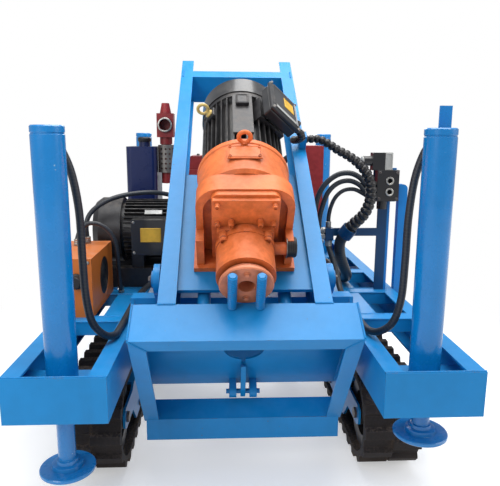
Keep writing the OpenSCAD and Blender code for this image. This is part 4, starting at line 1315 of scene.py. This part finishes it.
@dataclass
class Jacks:
    """Four jack tubes with their legs, ports and weld collars."""

    x: float = 0.637
    y: float = 1.065
    tube: float = 0.054
    top: float = 1.375
    port_low: float = 0.610

    def build(self) -> None:
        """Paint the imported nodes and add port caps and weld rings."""
        plugs, collars = [], []
        for end, sy in (("front", -1), ("rear", 1)):
            for side, sx in (("left", -1), ("right", 1)):
                paint_node(f"jack_tube_{end}_{side}", Finish.BLUE_JACK)
                paint_node(f"jack_leg_{end}_{side}", Finish.BLUE_JACK)
                way = (0.0, -float(sy), 0.0)
                low = (sx * self.x, sy * (self.y - 0.07), self.port_low)
                plugs.append((low, way))
                if sy > 0:
                    plugs.append(((sx * self.x, sy * (self.y - 0.07), self.top - 0.06), way))
                collars.append((sx * self.x, sy * self.y, 0.509))
        dress(Bolt(0.0125, 0.008, washer=1.25).at("jack_port_plugs", plugs), Finish.PLATED,
              "platform")
        beads = []
        for x, y, z in collars:
            around = [(x + (self.tube + 0.001) * math.cos(a), y + (self.tube + 0.001) * math.sin(a), z)
                      for a in (math.tau * i / 24 for i in range(25))]
            beads.append(Tube("bead", around, 0.0045, sides=6, steps=2, rib_pitch=0.0055,
                              rib_depth=0.0011).build())
        dress(Bench.joined("jack_weld_rings", beads), Finish.BLUE, "platform")


@dataclass
class Mast:
    """Rails, foot frame, guide pegs, lever and feed cylinders."""

    half: float = 0.3125
    face: float = 0.086
    foot_half: float = 0.400
    foot_front: float = -0.343
    foot_back: float = -0.188
    foot_low: float = -0.480
    peg_x: float = 0.049

    def pegs(self) -> None:
        """Make the two guide pegs out of ribbed bar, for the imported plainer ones."""
        profile = [(0.0, 0.0), (0.0135, 0.0)]
        for k in range(15):
            low = 0.004 + 0.0112 * k
            profile += [(0.0135, low), (0.0165, low + 0.0016), (0.0165, low + 0.0052),
                        (0.0135, low + 0.0068)]
        profile += [(0.0135, 0.168), (0.0115, 0.172), (0.0, 0.172)]
        places = [Matrix.Translation((x, -0.204, 0.086)) for x in (-self.peg_x, self.peg_x)]
        pegs = Bench.copies("ribbed_pegs", Bench.turned("peg", profile, 22), places)
        dress(Bench.moved(pegs, MAST), Finish.BLUE, "mast")
        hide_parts("guide_pegs")

    def build(self) -> None:
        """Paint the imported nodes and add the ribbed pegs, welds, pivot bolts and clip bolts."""
        for node in ("mast_rails", "foot_frame", "foot_lever", "feed_cylinders"):
            paint_node(node, Finish.BLUE)
        self.pegs()
        h, f = self.foot_half, self.face
        seams: list[tuple[Point, Point]] = []
        for sx in (-1, 1):
            seams.append(((sx * h, self.foot_front, f), (sx * (h - 0.058), self.foot_front, f - 0.058)))
            seams.append(((sx * h, self.foot_front + 0.004, f), (sx * h, self.foot_back, f)))
            seams.append(((sx * (self.half - 0.065), self.foot_back, f),
                          (sx * self.half, self.foot_back, f)))
            seams.append(((sx * self.half, self.foot_back, f), (sx * self.half, self.foot_back, -0.074)))
            for v in (0.086, -0.074):
                seams.append(((sx * 0.300, 1.403, v), (sx * 0.300, 1.468, v)))
            seams.append(((sx * 0.3045, 1.4025, -0.07), (sx * 0.3045, 1.4025, 0.078)))
            seams.append(((sx * (h - 0.008), -0.1965, f - 0.012), (sx * (h - 0.008), -0.1965, -0.44)))
        seams.append(((-h + 0.01, self.foot_front + 0.0085, f - 0.008),
                      (h - 0.01, self.foot_front + 0.0085, f - 0.008)))
        dress(Weld().along("mast_welds", seams, MAST), Finish.BLUE, "mast")
        pins = [((sx * 0.3575, 0.0, 0.0), (float(sx), 0.0, 0.0)) for sx in (-1, 1)]
        dress(Bolt(0.014, 0.009).at("pivot_bolts", pins, MAST), Finish.BOLTS, "mast")
        clip = [((0.296, s, 0.155), (0.0, 0.0, 1.0)) for s in (0.742, 0.768)]
        dress(Bolt(0.006, 0.006).at("clip_bolts", clip, MAST), Finish.BOLTS, "mast")


@dataclass
class RotaryHead:
    """Gear housing, bell, motor, terminal box and spindle."""

    def paint(self) -> None:
        """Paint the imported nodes."""
        paint_node("carriage_plate", Finish.BLUE)
        paint_node("feed_rods", Finish.STEEL)
        paint_node("gear_housing", Finish.ORANGE)
        paint_node("bell_housing", Finish.ORANGE)
        paint_node("spindle_adapter", Finish.SPINDLE)
        paint_node("head_motor", Finish.MOTOR)
        paint_node("head_fan_cover", Finish.COVER)

    def box(self) -> None:
        """Build the motor's terminal box: foot, body and raised lid."""
        foot = Bench.block("foot", (-0.055, 0.51, 0.176), (0.055, 0.63, 0.189), 0.002)
        body = Bench.block("body", (-0.077, 0.478, 0.188), (0.077, 0.662, 0.2295), 0.006)
        lid = Bench.block("lid", (-0.083, 0.472, 0.229), (0.083, 0.668, 0.246), 0.005)
        Bench.recess(lid, (0, 0, 1), 0.014, -0.0022)
        box = Bench.moved(Bench.joined("terminal_box", [foot, body, lid]), BOX_AXES)
        dress(box, Finish.COVER, "carriage")
        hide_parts("head_terminal_box")

    def bolts(self) -> None:
        """Set the bolts of the covers, flanges and the terminal box."""
        down = (0.0, -1.0, 0.0)
        large = [((x, -0.024, 0.248), down) for x in (-0.078, 0.078)]
        cover = [((x, 0.012, v), down) for x in (-0.1, 0.1) for v in (0.282, 0.368)]
        cover += [((x, 0.002, 0.292), down) for x in (-0.052, 0.052)]
        lower = [((x, 0.0, v), down) for x in (-0.088, 0.088) for v in (0.09, 0.16, 0.23)]
        dress(Bolt(0.0145, 0.012, 14, 1.15).at("gear_large_screws", large, MAST), Finish.ORANGE,
              "carriage")
        dress(Bolt(0.0085, 0.008, 12, 1.2).at("gear_cover_screws", cover + lower, MAST),
              Finish.ORANGE, "carriage")
        rim = ring(0.158, 12, 0.343, 0.245, 1.0, 15.0)
        dress(Bolt(0.0085, 0.009).at("motor_flange_bolts", rim, MAST), Finish.BOLTS, "carriage")
        lid = [((x, s, 0.246), (0, 0, 1)) for x in (-0.0755, 0.0755) for s in (0.4795, 0.6605)]
        dress(Bolt(0.005, 0.005, 12, 1.2).at("terminal_box_screws", lid, BOX_AXES), Finish.PLATED,
              "carriage")

    def plates(self) -> None:
        """Fix the cover plate on the bell and the blank labels on the terminal box."""
        plate = Bench.block("bell_plate", (-0.064, 0.205, 0.423), (0.064, 0.28, 0.4292), 0.002)
        Bench.recess(plate, (0, 0, 1), 0.006, -0.0008)
        dress(Bench.moved(plate, MAST), Finish.ORANGE, "carriage")
        screws = [((x, s, 0.4292), (0, 0, 1)) for x in (-0.054, 0.054) for s in (0.215, 0.27)]
        dress(Bolt(0.0055, 0.004, 12, 1.2).at("bell_plate_screws", screws, MAST), Finish.ORANGE,
              "carriage")
        label = Bench.block("terminal_box_label", (-0.005, 0.556, 0.248), (0.052, 0.624, 0.2496), 0.0006)
        Bench.recess(label, (0, 0, 1), 0.004, 0.0003)
        dress(Bench.moved(label, BOX_AXES), Finish.LABEL, "carriage")
        strip = Bench.block("terminal_box_strip", (-0.06, 0.494, 0.248), (0.06, 0.516, 0.2494), 0.0006)
        Bench.recess(strip, (0, 0, 1), 0.002, 0.0003)
        dress(Bench.moved(strip, BOX_AXES), Finish.GREY, "carriage")

    def gland(self) -> None:
        """Screw a gland on the terminal box where the conduit leaves it."""
        body = Bench.turned("gland", [(0.0, 0.0), (0.018, 0.0), (0.018, 0.02), (0.0185, 0.024),
                                      (0.0185, 0.04), (0.022, 0.042), (0.022, 0.05),
                                      (0.0165, 0.05), (0.0165, 0.046), (0.0, 0.046)], 20)
        nut = Bench.prism("nut", 0.0185, 0.012, 6)
        Bench.moved(nut, Matrix.Translation((0, 0, 0.008)))
        gland = Bench.joined("conduit_gland", [body, nut])
        Bench.moved(gland, BOX_AXES @ standing((0.0765, 0.6, 0.21), (1, 0, 0)))
        dress(gland, Finish.DARK, "carriage")

    def eye(self) -> None:
        """Screw a lifting eye into the motor's left side, on a block of its casting."""
        Bench.clear()
        bpy.ops.mesh.primitive_torus_add(
            major_radius=0.021, minor_radius=0.0065, major_segments=32, minor_segments=12,
            location=(0, 0, 0.036), rotation=(math.radians(90), 0, 0))
        loop = Bench.smooth(Bench.fix(bpy.context.object))
        foot = Bench.turned("foot", [(0.0, 0.0), (0.018, 0.0), (0.018, 0.006), (0.011, 0.010),
                                     (0.010, 0.018), (0.0, 0.018)], 20)
        eye = Bench.joined("motor_lifting_eye", [loop, foot])
        lean = MOTOR_AXIS @ Matrix.Rotation(math.radians(-50), 4, "Y")
        Bench.moved(eye, lean @ standing((0, 0.6, 0.176), (0, 0, 1)))
        seat = Bench.block("seat", (-0.024, 0.572, 0.14), (0.024, 0.628, 0.1765), 0.004)
        Bench.recess(seat, (0, 0, 1), 0.004, -0.001)
        dress(Bench.moved(seat, lean), Finish.MOTOR, "carriage").name = "motor_eye_seat"
        dress(eye, Finish.YELLOW, "carriage")

    def details(self) -> None:
        """Add the side drum with its washer, the motor's block and the adapter's bolts."""
        profile = [(0.0, 0.0), (0.0405, 0.0), (0.0405, 0.003), (0.0365, 0.0035)]
        for k in range(4):
            low = 0.0075 + 0.007 * k
            profile += [(0.0365, low), (0.0385, low + 0.0008), (0.0385, low + 0.0032),
                        (0.0365, low + 0.004)]
        profile += [(0.0365, 0.0345), (0.033, 0.037), (0.0, 0.037)]
        drum = Bench.turned("housing_drum", profile, 36)
        Bench.moved(drum, MAST @ standing((0.1525, 0.006, 0.172), (1, 0, 0)))
        dress(drum, Finish.DARK, "carriage")
        washer = Bench.turned("housing_drum_washer", [
            (0.0345, 0.0), (0.041, 0.0), (0.042, 0.0008), (0.042, 0.002), (0.0345, 0.002)], 36)
        Bench.moved(washer, MAST @ standing((0.1505, 0.006, 0.172), (1, 0, 0)))
        dress(washer, Finish.PLATED, "carriage")
        block = Bench.block("motor_top_block", (-0.027, 0.575, 0.168), (0.027, 0.642, 0.186), 0.004)
        Bench.recess(block, (0, 0, 1), 0.006, 0.002)
        dress(Bench.moved(block, MOTOR_AXIS), Finish.MOTOR, "carriage")
        nose = ring(0.062, 6, -0.166, 0.172, -1.0, 30.0)
        nose = [((x, -0.18, v), way) for (x, _, v), way in nose]
        dress(Bolt(0.009, 0.007).at("adapter_bolts", nose, MAST), Finish.SPINDLE, "spindle")

    def build(self) -> None:
        """Build the head's looks."""
        self.paint()
        self.box()
        self.details()
        self.bolts()
        self.plates()
        self.gland()
        self.eye()


@dataclass
class PowerPack:
    """Engine, radiator, exhaust, tank, pump motor and pump."""

    radiator_x: float = 0.43

    def paint(self) -> None:
        """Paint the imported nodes."""
        for node in ("engine_block", "engine_head"):
            paint_node(node, Finish.ENGINE)
        paint_node("radiator", Finish.ENGINE)
        paint_node("exhaust", Finish.ENGINE)
        paint_node("exhaust_shield", Finish.EXHAUST)
        paint_node("oil_tank", Finish.TANK)
        paint_node("pump_motor", Finish.MOTOR)
        paint_node("pump_motor_box", Finish.COVER)
        paint_node("hydraulic_pump", Finish.STEEL)

    def radiator(self) -> None:
        """Fill the radiator's window with fins."""
        fin = Bench.block("fin", (0.426, 0.491, 0.622), (0.494, 0.909, 0.6236), 0.0)
        Bench.pick(fin)
        rows = fin.modifiers.new("rows", "ARRAY")
        rows.use_relative_offset = False
        rows.use_constant_offset = True
        rows.constant_offset_displace = (0, 0, 0.0118)
        rows.count = 50
        bpy.ops.object.modifier_apply(modifier=rows.name)
        fin.name = "radiator_fins"
        dress(fin, Finish.DARK, "platform")
        spots = [((0.40, y, z), (-1, 0, 0)) for y in (0.46, 0.94) for z in (0.62, 0.9, 1.2)]
        dress(Bolt(0.008, 0.006).at("radiator_bolts", spots), Finish.BOLTS, "platform")

    def engine(self) -> None:
        """Add the rocker cover's screws, filter, alternator, belt and water hoses."""
        spots = [((x, y, 1.232), (0, 0, 1)) for x in (-0.24, -0.08, 0.08, 0.2) for y in (0.65, 0.72)]
        dress(Bolt(0.008, 0.008).at("rocker_cover_bolts", spots), Finish.BOLTS, "platform")
        side = [((x, 0.47, z), (0, -1, 0)) for x in (-0.29, -0.24, -0.17, -0.12, -0.05, 0.0, 0.07,
                                                     0.12, 0.19, 0.24) for z in (0.81, 0.97)]
        dress(Bolt(0.006, 0.006).at("side_cover_bolts", side), Finish.BOLTS, "platform")
        can = Bench.turned("oil_filter", [(0.0, 0.0), (0.036, 0.0), (0.04, 0.006), (0.04, 0.10),
                                          (0.034, 0.112), (0.0, 0.116)], 28)
        Bench.moved(can, standing((0.1, 0.91, 0.86), (0, 1, 0)))
        dress(can, Finish.COVER, "platform")
        shell = Bench.turned("alternator", [
            (0.0, 0.0), (0.05, 0.0), (0.056, 0.006), (0.056, 0.03), (0.052, 0.034), (0.052, 0.05),
            (0.056, 0.054), (0.056, 0.08), (0.044, 0.092), (0.012, 0.094), (0.012, 0.104),
            (0.03, 0.104), (0.026, 0.112), (0.03, 0.12), (0.0, 0.12)], 32)
        Bench.moved(shell, standing((-0.26, 0.945, 0.99), (-1, 0, 0)))
        dress(shell, Finish.STEEL, "platform")
        crank, generator, r1, r2 = Vector((-0.372, 0.7, 0.84)), Vector((-0.372, 0.945, 0.99)), 0.092, 0.031
        way = (generator - crank).normalized()
        up = Vector((0, -way.z, way.y))
        loop = [crank + r1 * (math.cos(a) * up - math.sin(a) * way) for a in
                (math.pi * i / 10 for i in range(11))]
        loop += [generator + r2 * (-math.cos(a) * up + math.sin(a) * way) for a in
                 (math.pi * i / 6 for i in range(7))]
        belt = Tube("fan_belt", [tuple(p) for p in loop + loop[:1]], 0.006, sides=8, steps=2).build()
        dress(belt, Finish.HOSE, "platform")
        top = Tube("radiator_hose_top", [(0.402, 0.62, 1.23), (0.36, 0.62, 1.235),
                                         (0.32, 0.64, 1.21), (0.30, 0.66, 1.18), (0.265, 0.66, 1.16)],
                   0.021, steps=6).build()
        low = Tube("radiator_hose_low", [(0.402, 0.84, 0.63), (0.36, 0.84, 0.635),
                                         (0.33, 0.85, 0.68), (0.31, 0.86, 0.74), (0.275, 0.86, 0.77)],
                   0.021, steps=6).build()
        for hose in (top, low):
            dress(hose, Finish.HOSE, "platform")

    def outlet(self) -> None:
        """Edge the exhaust's open front with a bright ring."""
        low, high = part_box("exhaust")
        lip = Bench.turned("exhaust_ring", [
            (0.0325, 0.0), (0.041, 0.0), (0.042, 0.002), (0.042, 0.006), (0.039, 0.008),
            (0.0345, 0.008), (0.0325, 0.006)], 32)
        Bench.moved(lip, standing((-0.415, low[1] - 0.001, 1.414), (0, -1, 0)))
        dress(lip, Finish.PLATED, "platform")

    def tank(self) -> None:
        """Add the filler cap and, at the back, the sight gauge."""
        cap = Bench.turned("tank_cap", [(0.0, 0.0), (0.038, 0.0), (0.04, 0.004), (0.04, 0.02),
                                        (0.034, 0.026), (0.0, 0.028)], 28)
        dress(Bench.moved(cap, Matrix.Translation((-0.55, 0.48, 1.318))), Finish.DARK, "platform")
        gauge = Bench.block("tank_gauge", (-0.575, 0.6295, 0.95), (-0.545, 0.638, 1.13), 0.003)
        Bench.recess(gauge, (0, 1, 0), 0.006, 0.002)
        dress(gauge, Finish.GREY, "platform")

    def pump_motor(self) -> None:
        """Add the pump motor's label, screws and flange bolts."""
        label = Bench.block("pump_box_label", (-0.485, -0.2182, 0.835), (-0.385, -0.2156, 0.905), 0.0006)
        Bench.recess(label, (0, -1, 0), 0.004, 0.0004)
        dress(label, Finish.LABEL, "platform")
        plate = Bench.block("pump_motor_plate", (-0.045, -0.0135, 0.0), (0.045, 0.0135, 0.0016), 0.0005)
        Bench.recess(plate, (0, 0, 1), 0.002, 0.0003)
        lean = standing((-0.435, 0.03 - 0.164 * math.cos(0.72), 0.86 + 0.164 * math.sin(0.72)),
                        (0, -math.cos(0.72), math.sin(0.72)))
        dress(Bench.moved(plate, lean), Finish.PLATE, "platform")
        spots = [((x, -0.216, z), (0, -1, 0)) for x in (-0.518, -0.352) for z in (0.782, 0.933)]
        dress(Bolt(0.005, 0.004, 12).at("pump_box_screws", spots), Finish.PLATED, "platform")
        rim = [((-0.25, 0.03 + 0.15 * math.cos(a), 0.86 + 0.15 * math.sin(a)), (1, 0, 0))
               for a in (math.tau * i / 8 for i in range(8))]
        dress(Bolt(0.008, 0.008).at("pump_flange_bolts", rim), Finish.BOLTS, "platform")
        guard = Bench.turned("pump_fan_grille", [
            (0.03, 0.0), (0.045, 0.004), (0.045, 0.0), (0.06, 0.0), (0.06, 0.004), (0.075, 0.004),
            (0.075, 0.0), (0.09, 0.0), (0.09, 0.004), (0.105, 0.004), (0.105, 0.0), (0.12, 0.0),
            (0.12, 0.003), (0.03, 0.003)], 36)
        dress(Bench.moved(guard, standing((-0.7402, 0.03, 0.86), (-1, 0, 0))), Finish.COVER,
              "platform")

    def build(self) -> None:
        """Build the power pack's looks."""
        self.paint()
        self.radiator()
        self.engine()
        self.outlet()
        self.tank()
        self.pump_motor()


@dataclass
class Controls:
    """Control box, valve posts and valve block."""

    def build(self) -> None:
        """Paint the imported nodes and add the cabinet's and the valve's small parts."""
        paint_node("control_box", Finish.ORANGE_BOX)
        paint_node("valve_posts", Finish.BLUE_POST)
        paint_node("valve_block", Finish.COVER)
        socket = Bench.turned("cabinet_socket", [
            (0.0, 0.0), (0.03, 0.0), (0.034, 0.003), (0.034, 0.008), (0.026, 0.012), (0.026, 0.03),
            (0.022, 0.034), (0.0, 0.034)], 28)
        dress(Bench.moved(socket, standing((-0.70, -0.6, 0.74), (0, -1, 0))), Finish.DARK,
              "platform")
        grille = Bench.turned("cabinet_grille", [
            (0.0, 0.0), (0.0865, 0.0), (0.0865, 0.0025), (0.078, 0.0025), (0.078, 0.0012),
            (0.064, 0.0012), (0.064, 0.0025), (0.056, 0.0025), (0.056, 0.0012), (0.042, 0.0012),
            (0.042, 0.0025), (0.034, 0.0025), (0.034, 0.0012), (0.012, 0.0012), (0.012, 0.0025),
            (0.0, 0.0025)], 40)
        Bench.moved(grille, standing((-0.6385, -0.36, 0.708), (1, 0, 0)))
        dress(grille, Finish.DARK, "platform")
        latch = Bench.block("cabinet_latch", (-0.80, -0.612, 0.69), (-0.776, -0.599, 0.76), 0.003)
        Bench.recess(latch, (0, -1, 0), 0.005, 0.003)
        dress(latch, Finish.DARK, "platform")
        screws = [((x, -0.6, z), (0, -1, 0)) for x in (-0.825, -0.65) for z in (0.6, 0.82)]
        dress(Bolt(0.005, 0.004, 12).at("cabinet_screws", screws), Finish.PLATED, "platform")
        cap = Bench.turned("solenoid_cap", [
            (0.0, 0.0), (0.021, 0.0), (0.023, 0.002), (0.023, 0.008), (0.019, 0.012),
            (0.012, 0.0135), (0.0, 0.0135)], 28)
        dress(Bench.moved(cap, standing((0.6005, -0.228, 1.236), (-1, 0, 0))), Finish.GREY,
              "platform")
        end = Bench.block("solenoid_end", (0.7, -0.2555, 1.1905), (0.738, -0.2005, 1.278), 0.004)
        Bench.recess(end, (0, -1, 0), 0.006, 0.001)
        dress(end, Finish.GREY, "platform")
        ports = []
        for z in (1.088, 1.142):
            port = Bench.turned("port", [(0.0115, 0.0), (0.0195, 0.0), (0.0195, 0.0055),
                                         (0.018, 0.0065), (0.0125, 0.0065), (0.0115, 0.0055)], 28)
            ports.append(Bench.moved(port, standing((0.726, -0.2575, z), (0, -1, 0))))
        dress(Bench.joined("valve_port_rings", ports), Finish.PLATED, "platform")
        spots = [((x, -0.258, z), (0, -1, 0)) for x in (0.676, 0.762) for z in (1.055, 1.182)]
        dress(Bolt(0.0055, 0.006, 12).at("valve_screws", spots), Finish.BOLTS, "platform")


@dataclass
class TiltCylinder:
    """The cylinder that raises the mast."""

    def build(self) -> None:
        """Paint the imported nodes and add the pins' keeper bolts."""
        paint_node("tilt_barrel", Finish.BLUE)
        paint_node("tilt_rod", Finish.STEEL)
        spots = [((sx * 0.048, -0.11, 0.545), (float(sx), 0.0, 0.0)) for sx in (-1, 1)]
        dress(Bolt(0.009, 0.006).at("tilt_pin_bolts", spots), Finish.BOLTS,
              "tilt_cylinder_barrel")


def main() -> None:
    """Build the studio and every sub-assembly in order."""
    Bench.clear()
    Studio().build()
    assemblies = (Lines(), RunningGear(), Platform(), Jacks(), Mast(), RotaryHead(), PowerPack(),
                  Controls(), TiltCylinder())
    for assembly in assemblies:
        assembly.build()
        log.info("%s is done", type(assembly).__name__)


if __name__ == "__main__":
    logging.basicConfig(level=logging.INFO, format="%(message)s")
    main()
